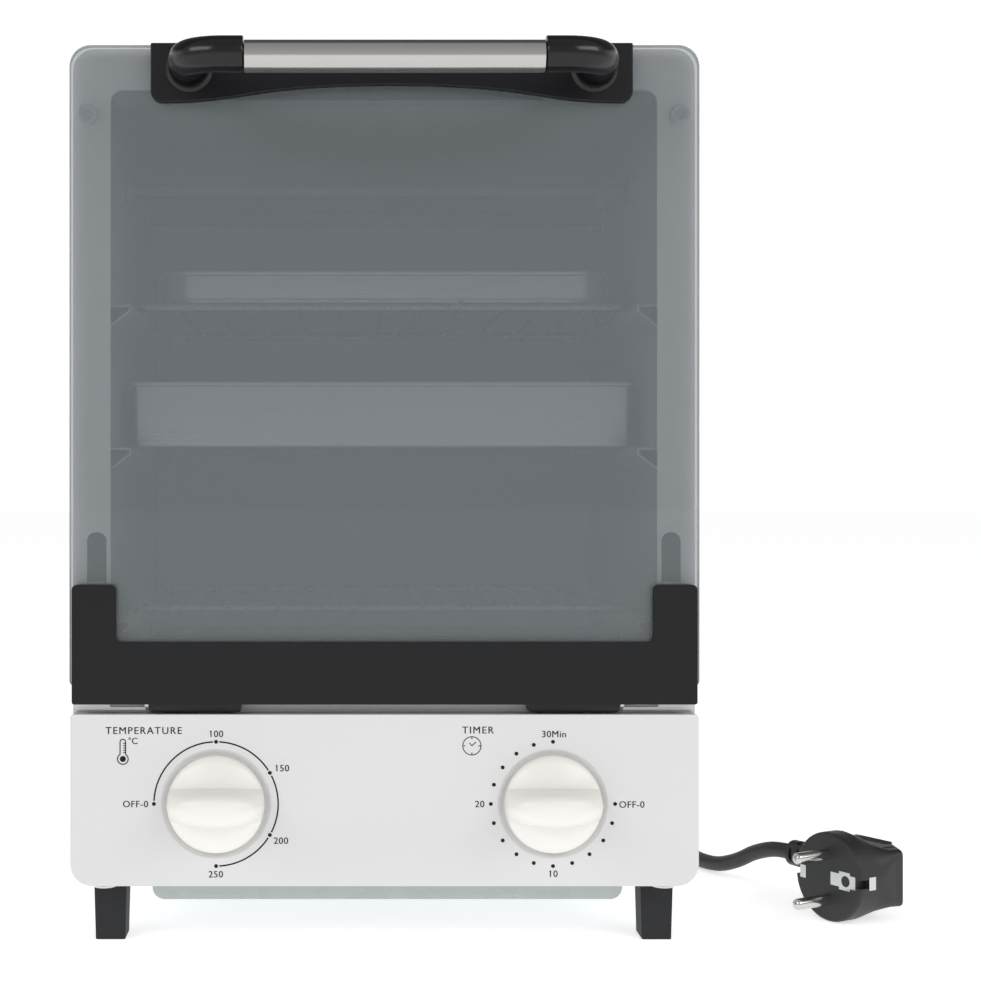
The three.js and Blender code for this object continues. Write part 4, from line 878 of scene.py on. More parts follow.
@dataclass
class Studio:
    """The camera at the photograph's view, a pale floor and soft light from boxes in front and above."""

    focal_pixels: float = 1768.0
    axis_pixel: tuple[float, float] = (334.0, 490.0)
    eye_x_mm: float = -20.0
    eye_z_mm: float = 181.5
    eye_before_panel_mm: float = 700.0
    sensor_mm: float = 36.0
    floor_m: float = 30.0
    floor_colour: str = "#F6F6F6"
    floor_roughness: float = 0.9
    white: str = "#FFFFFF"
    back_level: float = 1.05
    front_level: float = 0.62
    back_overhead_share: float = 0.12
    front_overhead_share: float = 0.75
    floor_glow: float = 0.6
    box_reach: float = 1.6
    box_front: float = 1.4
    box_height: float = 1.3
    box_width: float = 1.7
    box_depth: float = 0.7
    box_watts: float = 14.0
    aim_height: float = 0.18
    behind_heights: tuple[float, float] = (0.32, 0.44)
    before_heights: tuple[float, float] = (0.2, 0.95)
    turn_to_back: tuple[float, float] = (-0.1, 0.15)

    def camera(self, panel_front: float) -> None:
        """Set up the camera, level and square to the panel.

        Args:
            panel_front: Y of the panel's front, in metres.
        """
        data = bpy.data.cameras.new("photo_view")
        data.sensor_width = self.sensor_mm
        data.lens = self.focal_pixels / PHOTO_PIXELS * self.sensor_mm
        data.shift_x = 0.5 - self.axis_pixel[0] / PHOTO_PIXELS
        data.shift_y = self.axis_pixel[1] / PHOTO_PIXELS - 0.5
        camera = bpy.data.objects.new("photo_view", data)
        eye_y = panel_front - self.eye_before_panel_mm * MM
        camera.location = (self.eye_x_mm * MM, eye_y, self.eye_z_mm * MM)
        camera.rotation_euler = (math.pi / 2, 0, 0)
        bpy.context.scene.collection.objects.link(camera)
        bpy.context.scene.camera = camera

    def floor(self) -> None:
        """Lay a plain pale floor: the opal sheet of a light table, lit a little from below."""
        half = self.floor_m / 2
        mesh = bpy.data.meshes.new("floor")
        corners = [(-half, -half, 0), (half, -half, 0), (half, half, 0), (-half, half, 0)]
        mesh.from_pydata(corners, [], [(0, 1, 2, 3)])
        floor = link("floor", mesh)
        material = bpy.data.materials.new("pale_floor")
        material.use_nodes = True
        shader = material.node_tree.nodes["Principled BSDF"]
        shader.inputs["Base Color"].default_value = linear(self.floor_colour)
        shader.inputs["Roughness"].default_value = self.floor_roughness
        shader.inputs["Emission Color"].default_value = linear(self.white)
        shader.inputs["Emission Strength"].default_value = self.floor_glow
        mesh.materials.append(material)

    def light(self, name: str, place: Vector, target: Vector) -> None:
        """Hang a wide soft box that looks at a point.

        Args:
            name: Name of the light.
            place: Where it hangs.
            target: What it looks at.
        """
        data = bpy.data.lights.new(name, "AREA")
        data.shape = "RECTANGLE"
        data.size = self.box_width
        data.size_y = self.box_depth
        data.energy = self.box_watts
        lamp = bpy.data.objects.new(name, data)
        lamp.location = place
        lamp.rotation_euler = (target - place).to_track_quat("-Z", "Y").to_euler()
        bpy.context.scene.collection.objects.link(lamp)

    def build(self, panel_front: float) -> None:
        """Set up the whole studio.

        Args:
            panel_front: Y of the panel's front, in metres.
        """
        self.camera(panel_front)
        self.floor()
        self.room()
        bpy.context.scene.view_settings.view_transform = "Standard"
        middle = Vector((0, 0, self.aim_height))
        for name, side in (("left_box", -1), ("right_box", 1)):
            place = Vector((side * self.box_reach, -self.box_front, self.box_height))
            self.light(name, place, middle)
        LOG.info("studio is set up")

    def room(self) -> None:
        """Make the room round the object: bright behind it, dimmer behind the camera and overhead."""
        world = bpy.data.worlds.new("soft_room")
        world.use_nodes = True
        bpy.context.scene.world = world
        tree = world.node_tree
        ground = tree.nodes["Background"]
        ground.inputs["Color"].default_value = linear(self.white)
        way = add(tree, "ShaderNodeSeparateXYZ", {0: add(tree, "ShaderNodeTexCoord").outputs["Generated"]})
        behind = add(tree, "ShaderNodeMapRange", {
            "Value": way.outputs["Z"], "From Min": self.behind_heights[0], "From Max": self.behind_heights[1],
            "To Min": self.back_level, "To Max": self.back_level * self.back_overhead_share})
        before = add(tree, "ShaderNodeMapRange", {
            "Value": way.outputs["Z"], "From Min": self.before_heights[0], "From Max": self.before_heights[1],
            "To Min": self.front_level, "To Max": self.front_level * self.front_overhead_share})
        share = add(tree, "ShaderNodeMapRange", {
            "Value": way.outputs["Y"], "From Min": self.turn_to_back[0], "From Max": self.turn_to_back[1]})
        level = add(tree, "ShaderNodeMix", {
            SHARE: share.outputs[0], NUMBERS[0]: before.outputs[0], NUMBERS[1]: behind.outputs[0]},
            data_type="FLOAT")
        tree.links.new(level.outputs[MIXED_NUMBER], ground.inputs["Strength"])


# Mains lead


@dataclass
class MainsLead:
    """The mains cord with its boot, coil, tie and angled two-pin plug.

    The plug's own axes are X to behind its face, Y along its cord and Z from pin to pin. The tie's inside,
    width and middle count in diameters of the cord.
    """

    diameter: float = 0.007
    length: float = 1.14
    exit: tuple[float, float, float] = (0.062, 0.1565, 0.040)
    lead_route: tuple[tuple[float, float, float], ...] = (
        (0.062, 0.1565, 0.040), (0.062, 0.161, 0.040), (0.062, 0.166, 0.040), (0.062, 0.1748, 0.0388),
        (0.062, 0.183, 0.0351), (0.062, 0.1898, 0.0294), (0.062, 0.1949, 0.0218), (0.062, 0.200, 0.0142),
        (0.062, 0.2068, 0.0085), (0.062, 0.215, 0.005), (0.062, 0.2238, 0.0038), (0.0574, 0.2408, 0.0037),
        (0.045, 0.2532, 0.0037), (0.028, 0.2578, 0.0037), (0.014, 0.2578, 0.0037))
    tail_route: tuple[tuple[float, float, float], ...] = (
        (0.012, 0.1653, 0.0113), (0.022, 0.1653, 0.011), (0.038, 0.1654, 0.0086), (0.056, 0.1658, 0.0052),
        (0.074, 0.1662, 0.0038), (0.092, 0.1664, 0.0037), (0.108, 0.166, 0.0037), (0.1256, 0.1625, 0.0037),
        (0.1405, 0.1525, 0.0037), (0.1505, 0.1376, 0.0037), (0.154, 0.120, 0.0037), (0.1532, 0.102, 0.0037),
        (0.1528, 0.086, 0.0037), (0.1538, 0.070, 0.0037), (0.1575, 0.0535, 0.0037), (0.1625, 0.0417, 0.0049),
        (0.1682, 0.0314, 0.0087), (0.1741, 0.0212, 0.0144), (0.1798, 0.0113, 0.0179),
        (0.1842, 0.0037, 0.0187), (0.186, 0.0006, 0.0187))
    coil_centre: tuple[float, float] = (-0.002, 0.21155)
    coil_turns: float = 2.5
    coil_steps: int = 24
    coil_mean_radius: float = 0.0415
    coil_pitch: float = 0.0076
    rest_height: float = 0.0037
    fine_steps: int = 4
    cord_smoothness: int = 5
    tie_wire: float = 0.0005
    tie_strands: tuple[float, ...] = (-1.5, -0.5, 0.5, 1.5)
    tie_inside: float = 2.4
    tie_width: float = 2.3
    tie_middle: float = 1.07
    tie_corner_steps: int = 8
    plug_place: tuple[float, float, float] = (0.1877, -0.0503, 0.0187)
    plug_yaw: float = math.pi / 6
    plug_radius: float = 0.0187
    plug_depth: float = 0.0345
    plug_thickness: float = 0.024
    plug_edge: float = 0.0008
    plug_side_share: float = 0.97
    plug_corner_share: float = 0.13
    plug_corner_steps: int = 12
    plug_chamfer_depth: float = 0.0095
    plug_chamfer_fall: float = 0.0155
    mould_voxel: float = 0.00034
    mould_rounds: int = 3
    moulded_step: float = 0.0004
    flange_depths: tuple[float, float] = (0.0158, 0.0343)
    flange_root_share: float = 0.85
    flange_half: float = 0.0098
    panel_depths: tuple[float, float] = (0.0195, 0.0262)
    panel_sides: tuple[float, float] = (-0.0115, 0.0125)
    notch_depths: tuple[float, float] = (-0.002, 0.0045)
    notch_cut: float = 0.003
    notch_over: float = 0.002
    notch_half: float = 0.0018
    grip_half: float = 0.0092
    grip_centre: float = 0.0072
    grip_pad: float = 0.0031
    contact_half: float = 0.0027
    contact_sheet: float = 0.0006
    contact_proud: float = 0.0002
    contact_step: float = 0.0011
    pin_spread: float = 0.019
    pin_radius: float = 0.0024
    pin_length: float = 0.019
    pin_root: float = 0.005
    pin_tip_share: float = 0.8
    collar_centre: float = 0.0243
    collar_radius: float = 0.008
    collar_end: float = 0.0206
    relief_length: float = 0.024
    relief_radius: float = 0.0061
    relief_taper: float = 0.93
    relief_edge: float = 0.0005
    relief_gap: float = 0.0002
    relief_slots: int = 4
    slot_start_share: float = 0.7
    slot_half_share: float = 0.21
    slot_face_shares: tuple[float, float] = (0.55, 0.52)
    slot_side_share: float = 0.76
    cutter_share: float = 1.4

    def coil(self) -> list[Vector]:
        """Work out the coil's middle line: in on the bench, up, and out on top of itself.

        Returns:
            Its points.
        """
        count = int(self.coil_turns * self.coil_steps)
        outer = self.coil_mean_radius + self.coil_pitch * self.coil_turns / 4
        climb_half = 0.25
        line = []
        for step in range(count + 1):
            turn = step / self.coil_steps
            radius = outer - self.coil_pitch * min(turn, self.coil_turns - turn)
            share = min(1.0, max(0.0, (turn - self.coil_turns / 2 + climb_half) / (2 * climb_half)))
            climb = share * share * (3 - 2 * share)
            angle = math.pi / 2 + 2 * math.pi * turn
            line.append(Vector((self.coil_centre[0] + radius * math.cos(angle),
                                self.coil_centre[1] + radius * math.sin(angle),
                                self.rest_height + self.coil_pitch * climb)))
        return line

    def route(self) -> list[Vector]:
        """Work out the whole route from the boot to the plug, smoothed between its points.

        Returns:
            The route's points.
        """
        points = [*map(Vector, self.lead_route), *self.coil(), *map(Vector, self.tail_route)]
        ends = [2 * points[0] - points[1], *points, 2 * points[-1] - points[-2]]
        fine = []
        for before, start, end, after in zip(ends, ends[1:], ends[2:], ends[3:]):
            spans = [math.sqrt((b - a).length) for a, b in ((before, start), (start, end), (end, after))]
            slope_in = self.slope(before, start, end, spans[0], spans[1])
            slope_out = self.slope(start, end, after, spans[1], spans[2])
            for step in range(self.fine_steps):
                t = step / self.fine_steps
                leave, reach = 2 * t ** 3 - 3 * t ** 2 + 1, 3 * t ** 2 - 2 * t ** 3
                lean_in, lean_out = t ** 3 - 2 * t ** 2 + t, t ** 3 - t ** 2
                fine.append(start * leave + slope_in * spans[1] * lean_in
                            + end * reach + slope_out * spans[1] * lean_out)
        return [*fine, points[-1]]

    @staticmethod
    def slope(before: Vector, here: Vector, after: Vector, span_in: float, span_out: float) -> Vector:
        """Return the route's slope at a point, from its neighbours and the spans to them."""
        between = (after - before) / (span_in + span_out)
        return (here - before) / span_in - between + (after - here) / span_out

    def cord(self) -> bpy.types.Object:
        """Make the cord as one curve that replaces its three solids.

        Returns:
            The cord.
        """
        curve = bpy.data.curves.new("mains_cord", "CURVE")
        curve.dimensions = "3D"
        curve.bevel_depth = self.diameter / 2
        curve.bevel_resolution = self.cord_smoothness
        curve.use_fill_caps = True
        spline = curve.splines.new("POLY")
        line = self.route()
        spline.points.add(len(line) - 1)
        for slot, point in zip(spline.points, line):
            slot.co = (*point, 1.0)
        spline.use_smooth = True
        piece = bpy.data.objects.new("mains_cord", curve)
        bpy.context.scene.collection.objects.link(piece)
        return fit(piece, Body.CASE, SHEATHING, ["cord_lead", "cord_coil", "cord_tail"])

    def tie(self) -> bpy.types.Object:
        """Make the tie that holds the coil's strands together on its left.

        Returns:
            The tie.
        """
        wire = self.tie_wire
        inner = self.coil_centre[0] - self.coil_mean_radius + self.tie_inside * self.diameter / 2
        outer = inner - self.tie_width * self.diameter
        centre_x = (inner + outer) / 2
        centre_z = wire + self.tie_middle * self.diameter
        loop = rounded_rectangle((inner - outer) / 2, centre_z - wire, self.diameter / 2,
                                 self.tie_corner_steps)
        path = [Vector((centre_x + x, self.coil_centre[1], centre_z + z)) for x, z in loop]
        band = []
        for offset in self.tie_strands:
            shifted = [point + Vector((0, offset * wire * 2, 0)) for point in [*path, path[0]]]
            band.append(sweep(shifted, [wire] * len(shifted), "tie", sides=10))
        return fit(link("coil_tie", joined(band, "coil_tie")), Body.CASE, SHEATHING)

    def seat(self) -> Matrix:
        """Return the plug's place: its pins point along its own -X, its cord leaves along +Y."""
        return Matrix.Translation(self.plug_place) @ Matrix.Rotation(self.plug_yaw, 4, "Z")

    def plug_body(self) -> bpy.types.Object:
        """Mould the plug: a round face that flows into a flat back with a chamfer, a grip and a collar.

        Returns:
            The plug's body, which replaces its solid.
        """
        r, half, steps = self.plug_radius, self.plug_thickness / 2, self.plug_corner_steps
        face, side, corner = r - self.plug_edge, self.plug_side_share * r, self.plug_corner_share * r
        slope_start = self.plug_depth - self.plug_chamfer_depth
        # Depth behind the face, half width, half thickness and corner radius
        stations = [(0, face, face, face), (self.plug_edge, r, r, r), (0.0085, r, r, r),
                    (0.0115, r, 0.92 * r, 0.88 * r), (0.0145, 0.995 * r, 0.79 * r, 0.62 * r),
                    (0.0175, 0.985 * r, 0.70 * r, 0.38 * r), (0.0205, side, half, 0.2 * r),
                    (slope_start, side, half, corner)]
        rings = [[Vector((x, y, z)) for y, z in rounded_rectangle(half_y, half_z, radius, steps)]
                 for x, half_y, half_z, radius in stations]
        fall = self.plug_chamfer_fall / 2
        rings.append([Vector((self.plug_depth, y + fall, z))
                      for y, z in rounded_rectangle(side - fall, half, corner, steps)])
        body = skin(rings, "body")
        near, far = self.flange_depths
        flange = box_mesh((near, r * self.flange_root_share, -self.flange_half),
                          (far, self.collar_end - self.moulded_step, self.flange_half), "flange")
        near, far = self.panel_depths
        low, high = self.panel_sides
        proud = half + self.moulded_step
        panel = box_mesh((near, low, -proud), (far, high, proud), "panel")
        collar = lathe([(0, 0), (self.collar_radius, 0), (self.collar_radius, self.collar_end),
                        (0, self.collar_end)], Way.BACK, Vector((self.collar_centre, 0, 0)), "collar")
        piece = moulded([body, self.grip(), flange, panel, collar], "plug_moulding", self.mould_voxel,
                        self.mould_rounds)
        notches = []
        near, far = self.notch_depths
        for end in (-1, 1):
            low, high = span(end, r - self.notch_cut, r + self.notch_over)
            notches.append(box_mesh((near, low, -self.notch_half), (far, high, self.notch_half), "rim_notch"))
        cut_out(piece, notches)
        piece.data.transform(self.seat())
        return fit(piece, Body.CASE, PLUG_PVC, ["plug_body"])

    def grip(self) -> bpy.types.Mesh:
        """Make the rounded plate across the plug's back that a hand pulls on.

        Returns:
            The closed mesh.
        """
        pad, corner_share, steps = self.grip_pad, 0.8, 5
        # Place along the grip, and its section's share there
        stations = ((-1.0, 0.62), (-0.95, 0.85), (-0.88, 1.0), (0.88, 1.0), (0.95, 0.85), (1.0, 0.62))
        rings = []
        for along, share in stations:
            section = rounded_rectangle(pad * share, self.plug_thickness / 3 * share,
                                        pad * share * corner_share, steps)
            y = self.grip_centre + along * self.grip_half
            rings.append([Vector((self.plug_depth + x, y, z)) for x, z in section])
        return skin(rings, "grip")

    def plug_ribs(self) -> bpy.types.Object:
        """Set the raised grip ribs on both sides of the plug's back.

        Returns:
            The ribs.
        """
        profile = [(0, -0.009), (0.0003, -0.0089), (0.0005, -0.0085), (0.0005, 0.0085), (0.0003, 0.0089),
                   (0, 0.009)]
        form = link("rib_form", lathe(profile, Way.BACK, Vector(), "rib", steps=12))
        rows = bpy.data.meshes.new("plug_grip_ribs")
        height = self.plug_thickness / 2
        first, pitch, count, middle = 0.0275, 0.0016, 4, 0.0037
        rows.from_pydata([(first + pitch * column, middle, side * height)
                          for column in range(count) for side in (-1, 1)], [], [])
        given = {"Form": form, "Material": PLUG_PVC.material()}
        piece = grown("plug_grip_ribs", on_points_tree(), given, rows)
        bpy.data.objects.remove(form)
        piece.data.transform(self.seat())
        return fit(piece, Body.CASE, PLUG_PVC)

    def earth_contacts(self) -> list[bpy.types.Object]:
        """Set the two earth strips into the plug: they show on its face and its edge.

        Returns:
            The large contact, and the other strips as one piece.
        """
        thin, proud, neck = self.contact_sheet, self.contact_proud, self.contact_half
        shoulder = neck + self.contact_step
        edge, top, bottom, end = 0.0155, 0.0126, 0.0065, 0.0018
        shape = [(-edge, neck), (-top, neck), (-top, shoulder), (-bottom, shoulder), (-bottom, neck),
                 (-end, neck)]
        outline = [*shape, *[(y, -z) for y, z in reversed(shape)]]
        large = skin([[Vector((x, y, z)) for y, z in outline] for x in (-proud, thin)], "large_contact")
        clip = link("large_earth_contact", large)
        hole, hole_centre, through = 0.0023, 0.0101, 0.002
        cut_out(clip, [lathe([(0, -through), (hole, -through), (hole, through), (0, through)], Way.RIGHT,
                             Vector((0, -hole_centre, 0)), "contact_hole", steps=32)])
        inner, outer, front, back = 0.0124, 0.0157, 0.0045, 0.0083
        strips = [box_mesh((-proud, inner, -neck), (thin, outer, neck), "small_contact")]
        for side in (-1, 1):
            low, high = span(side, self.plug_radius - thin, self.plug_radius + proud / 2)
            strips.append(box_mesh((front, low, -neck), (back, high, neck), "rim_strip"))
        others = link("earth_strips", joined(strips, "earth_strips"))
        for piece in (clip, others):
            piece.data.transform(self.seat())
            fit(piece, Body.CASE, NICKEL)
        return [clip, others]

    def pins(self) -> list[bpy.types.Object]:
        """Turn the two round pins, with their rounded tips.

        Returns:
            The lower and the upper pin.
        """
        made = []
        r = self.pin_radius
        profile = [(0, -self.pin_length)]
        pace = 15
        for degrees in range(pace, 90 + pace, pace):
            angle = math.radians(degrees)
            rise = r * (1 - math.cos(angle)) * self.pin_tip_share
            profile.append((r * math.sin(angle), rise - self.pin_length))
        profile += [(r, self.pin_root), (0, self.pin_root)]
        for name, side in (("lower", -1), ("upper", 1)):
            centre = Vector((0, 0, side * self.pin_spread / 2))
            mesh = lathe(profile, Way.RIGHT, centre, f"pin_{name}", steps=40)
            mesh.transform(self.seat())
            made.append(fit(link(f"mains_pin_{name}", mesh), Body.CASE, NICKEL, [f"plug_pin_{name}"]))
        return made

    def relief(self) -> bpy.types.Object:
        """Make the plug's strain relief: a tapered boot with slots by turns on its faces and on its sides.

        Returns:
            The boot, which replaces its solid.
        """
        r, long, edge = self.relief_radius, self.relief_length, self.relief_edge
        tip = r * self.relief_taper
        profile = [(0, 0), (r, 0), (tip, long - edge), (tip - edge, long), (0, long)]
        piece = link("plug_boot", lathe(profile, Way.BACK, Vector(), "boot"))
        pitch = long / (self.relief_slots + 1)
        root, half = (r * share for share in self.slot_face_shares)
        over = r * self.cutter_share
        slots = []
        for slot in range(self.relief_slots):
            middle = pitch * (slot + self.slot_start_share)
            low, high = middle - pitch * self.slot_half_share, middle + pitch * self.slot_half_share
            for face in (-1, 1):
                near, far = span(face, root, over)
                slots.append(box_mesh((-half, low, near), (half, high, far), "face_slot"))
            low, high = low + pitch / 2, high + pitch / 2
            for side in (-1, 1):
                near, far = span(side, r * self.slot_side_share, over)
                slots.append(box_mesh((near, low, -over), (far, high, over), "side_slot"))
        cut_out(piece, slots)
        start = Matrix.Translation((self.collar_centre, self.collar_end + self.relief_gap, 0))
        piece.data.transform(self.seat() @ start)
        return fit(piece, Body.CASE, SHEATHING, ["plug_strain_relief"])

    def gland(self) -> bpy.types.Object:
        """Turn the rubber gland that the cord leaves the back panel through.

        Returns:
            The gland, which replaces its solid.
        """
        low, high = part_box("cord_gland")
        centre = Vector(((low.x + high.x) / 2, low.y, (low.z + high.z) / 2))
        flange, root, nose = (high.x - low.x) / 2, 0.0063, 0.005
        tip = high.y - low.y
        start, seat, edge, wave = 0.004, 0.006, 0.0006, 0.0004
        profile = [(0, 0), (root, 0), (root, start), (flange - edge, start), (flange, start + edge),
                   (flange, seat - edge), (flange - edge, seat), (root + edge, seat)]
        steps = 10
        for step in range(1, steps + 1):
            share = step / steps
            ripple = wave * math.sin(share * steps * math.pi) ** 2
            radius = root + edge - (root + edge - nose) * share + ripple
            profile.append((radius, seat + (tip - seat - edge) * share))
        profile += [(nose - edge, tip), (0, tip)]
        piece = link("cord_boot", lathe(profile, Way.BACK, centre, "cord_boot", steps=48))
        return fit(piece, Body.CASE, SHEATHING, ["cord_gland"])

    def build(self) -> None:
        cord = self.cord()
        on_cord = [self.tie(), self.plug_body(), self.plug_ribs(), *self.earth_contacts(), *self.pins(),
                   self.relief(), self.gland()]


# Case


@dataclass
class Case:
    """The outer shell, the panel, the feet and the back."""

    frame: Frame
    sheet_edge_mm: float = 0.25
    panel_edge_mm: float = 0.8
    foot_edge_mm: float = 0.6
    screw_radius: float = 0.0035
    screw_height: float = 0.0016
    screw_inset: float = 0.007
    bumper_edge_share: float = 1 / 6
    dimple_share: float = 1 / 2.6
    spacer_edge_share: float = 1 / 8

    def shells(self) -> None:
        """Finish the sheets, the panel and its screws, the crumb tray's runners, the feet and the base plate.
        """
        for node in ("front_frame", "outer_cover", "back_panel"):
            self.frame.eased(node, Body.CASE, ENAMEL, self.sheet_edge_mm)
        self.frame.eased("control_panel", Body.CASE, ENAMEL, self.panel_edge_mm, segments=4)
        for side in ("left", "right"):
            self.frame.eased(f"panel_screw_{side}", Body.CASE, ENAMEL, self.sheet_edge_mm)
            self.frame.eased(f"crumb_tray_runner_{side}", Body.CASE, GALVANISED, self.sheet_edge_mm)
            for row in ("front", "rear"):
                self.frame.eased(f"foot_{row}_{side}", Body.CASE, FOOT_RUBBER, self.foot_edge_mm)
        self.frame.eased("base_plate", Body.CASE, GALVANISED, self.sheet_edge_mm)

    def bumpers(self) -> None:
        """Turn the two round bumpers behind the glass, each with a dimple."""
        for side in ("left", "right"):
            low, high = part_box(f"door_bumper_{side}")
            radius, length = (high.x - low.x) / 2, high.y - low.y
            ease, dimple = radius * self.bumper_edge_share, radius * self.dimple_share
            origin = Vector(((low.x + high.x) / 2, high.y, (low.z + high.z) / 2))
            profile = [(0, 0), (radius, 0), (radius, length - ease), (radius - ease, length),
                       (dimple + ease, length), (dimple, length - 2 * ease), (0, length - 3 * ease)]
            piece = link(f"round_bumper_{side}", lathe(profile, Way.FRONT, origin, "bumper", steps=40))
            fit(piece, Body.CASE, BUMPER, [f"door_bumper_{side}"])

    def spacers(self) -> None:
        """Turn the two spacers that keep the back off a wall."""
        for side in ("left", "right"):
            low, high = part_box(f"rear_spacer_{side}")
            radius, length = (high.x - low.x) / 2, high.y - low.y
            ease = length * self.spacer_edge_share
            origin = Vector(((low.x + high.x) / 2, low.y, (low.z + high.z) / 2))
            hollow = length - 3 * ease
            profile = [(0, 0), (radius - ease, 0), (radius, ease), (radius - 2 * ease, length - ease),
                       (radius - 3 * ease, length), (radius / 3, length), (radius / 3 - ease, hollow),
                       (0, hollow)]
            piece = link(f"wall_spacer_{side}", lathe(profile, Way.BACK, origin, "spacer", steps=48))
            fit(piece, Body.CASE, NYLON, [f"rear_spacer_{side}"])

    def back_screws(self) -> None:
        """Set pan-head screws round the back panel's edge."""
        low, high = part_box("back_panel")
        inset = self.screw_inset
        rows = (low.z + inset * 2, (low.z + high.z) / 2, high.z - inset * 2)
        columns = (low.x + inset, high.x - inset)
        places = [(x, high.y, z) for x in columns for z in rows]
        places += [(0.0, high.y, z) for z in (low.z + inset, high.z - inset)]
        points = bpy.data.meshes.new("back_panel_screws")
        points.from_pydata(places, [], [])
        form = link("screw_form", self.screw_head())
        given = {"Form": form, "Material": ZINC.material()}
        piece = grown("back_panel_screws", on_points_tree(), given, points)
        bpy.data.objects.remove(form)
        fit(piece, Body.CASE, ZINC)

    def screw_head(self) -> bpy.types.Mesh:
        """Make a pan head with a crossed recess, its back at the origin and its axis to the back.

        Returns:
            The closed mesh.
        """
        r, h = self.screw_radius, self.screw_height
        # A straight rim that rounds over to the flat top
        profile = [(0, 0), (r, 0), (r, h * 0.35), (r * 0.93, h * 0.7), (r * 0.7, h * 0.93), (r * 0.5, h),
                   (0, h)]
        head = link("screw_head", lathe(profile, Way.BACK, Vector(), "screw_head", steps=24))
        long, wide, deep, over = r * 0.55, r * 0.14, h * 0.4, h * 2
        for half_x, half_z in ((long, wide), (wide, long)):
            cut_out(head, [box_mesh((-half_x, deep, -half_z), (half_x, over, half_z), "slot")])
        mesh = head.data
        bpy.data.objects.remove(head)
        return mesh

    def build(self) -> None:
        """Finish the whole case."""
        self.shells()
        self.bumpers()
        self.spacers()
        self.back_screws()


# Controls


@dataclass
class Knob:
    """An ivory knob whose grip bar swells across its face."""

    node: str
    body: Body
    pointer_sides: tuple[int, ...]
    skirt: float = 0.0044
    face: float = 0.0095
    bar_top: float = 0.019
    bar_half: float = 0.0073
    bar_end_half: float = 0.0060
    bar_fullness: float = 2.7
    bar_end_fullness: float = 1.15
    bar_fall: float = 0.36
    bar_reach: float = 0.96
    edge: float = 0.0024
    edge_drop_share: float = 0.6
    rim_start: float = 0.87
    rim_width: float = 0.13
    bar_steps: int = 20
    bore: float = 0.0033
    bore_depth: float = 0.010
    slices: int = 96
    pointer_half: float = 0.0006
    pointer_over: float = 0.00025
    pointer_length: float = 0.003
    pointer_rise: float = 1.4

    def face_height(self, out: float) -> float:
        """Work out the height of the knob's round face, which is domed and has a soft rim.

        Args:
            out: Distance from the middle, as a share of the knob's radius.

        Returns:
            The height above the panel's side of the knob, in metres.
        """
        rim = max(0.0, (out - self.rim_start) / self.rim_width)
        dome = self.skirt + (self.face - self.skirt) * math.cos(out * math.pi / 2)
        return dome - self.edge * self.edge_drop_share * (1 - math.sqrt(max(0.0, 1 - rim * rim)))

    def slice_at(self, x: float, radius: float) -> list[Vector]:
        """Return the closed outline of the knob's cut across its grip bar.

        Args:
            x: Where the cut lies, measured along the bar from the knob's middle.
            radius: The knob's radius.

        Returns:
            The outline's points, from its lower edge over the face to its upper edge.
        """
        least, steps = 1e-9, self.bar_steps
        reach = math.sqrt(max(radius * radius - x * x, least))
        swell = max(0.0, 1 - (x / radius) ** 2)
        foot = min(self.bar_end_half + (self.bar_half - self.bar_end_half) * swell, reach * self.bar_reach)
        top = self.skirt + (self.bar_top - self.skirt) * swell ** self.bar_fall
        fullness = self.bar_end_fullness + (self.bar_fullness - self.bar_end_fullness) * swell
        places = [foot * math.sin(math.pi / 2 * step / steps) for step in range(steps)]
        places += [foot + (reach - foot) * math.sin(math.pi / 2 * step / steps) for step in range(steps + 1)]
        upper = []
        for z in places:
            base = self.face_height(min(1.0, math.hypot(x, z) / radius))
            share = min(1.0, z / foot)
            section = (1 - share ** fullness) ** (1 / fullness)
            upper.append((z, base + max(0.0, top - base) * section))
        line = [(-z, height) for z, height in reversed(upper[1:])] + upper
        face = [Vector((x, -height, z)) for z, height in line]
        return [Vector((x, 0, -reach)), *face, Vector((x, 0, reach))]

    def build(self) -> None:
        """Loft the knob from end to end of its grip bar, bore it for its shaft and add its pointers."""
        low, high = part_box(self.node)
        radius = (high.z - low.z) / 2
        turns = [math.pi * step / self.slices for step in range(1, self.slices)]
        rings = [self.slice_at(-radius * math.cos(turn), radius) for turn in turns]
        piece = link(f"{self.node}_moulding", skin(rings, self.node))
        deep, over = self.bore_depth, 0.001
        cut_out(piece, [lathe([(0, -over), (self.bore, -over), (self.bore, deep), (0, deep)], Way.FRONT,
                              Vector(), "bore", steps=32)])
        piece.data = joined([piece.data, *self.pointers(radius)], self.node)
        piece.data.transform(Matrix.Translation(((low.x + high.x) / 2, high.y, (low.z + high.z) / 2)))
        fit(piece, self.body, IVORY, [self.node])

    def pointers(self, radius: float) -> list[bpy.types.Mesh]:
        """Make the small ridges at the ends of the bar that point to the marks.

        Args:
            radius: The knob's radius.

        Returns:
            A closed mesh for each ridge.
        """
        made = []
        half = self.pointer_half
        for side in self.pointer_sides:
            root, tip = side * (radius - self.pointer_length), side * (radius + self.pointer_over)
            section = [(root, -half), (tip, 0.0), (root, half)]
            made.append(skin([[Vector((x, -height, z)) for x, z in section]
                              for height in (self.skirt / 2, self.skirt * self.pointer_rise)], "pointer"))
        return made


@dataclass(frozen=True)
class Word:
    """A printed word: what it says, its middle measured from the dial's centre, and its capitals' height."""

    says: str
    x: float
    z: float
    cap: float = 0.0026
    spacing: float = 1.08


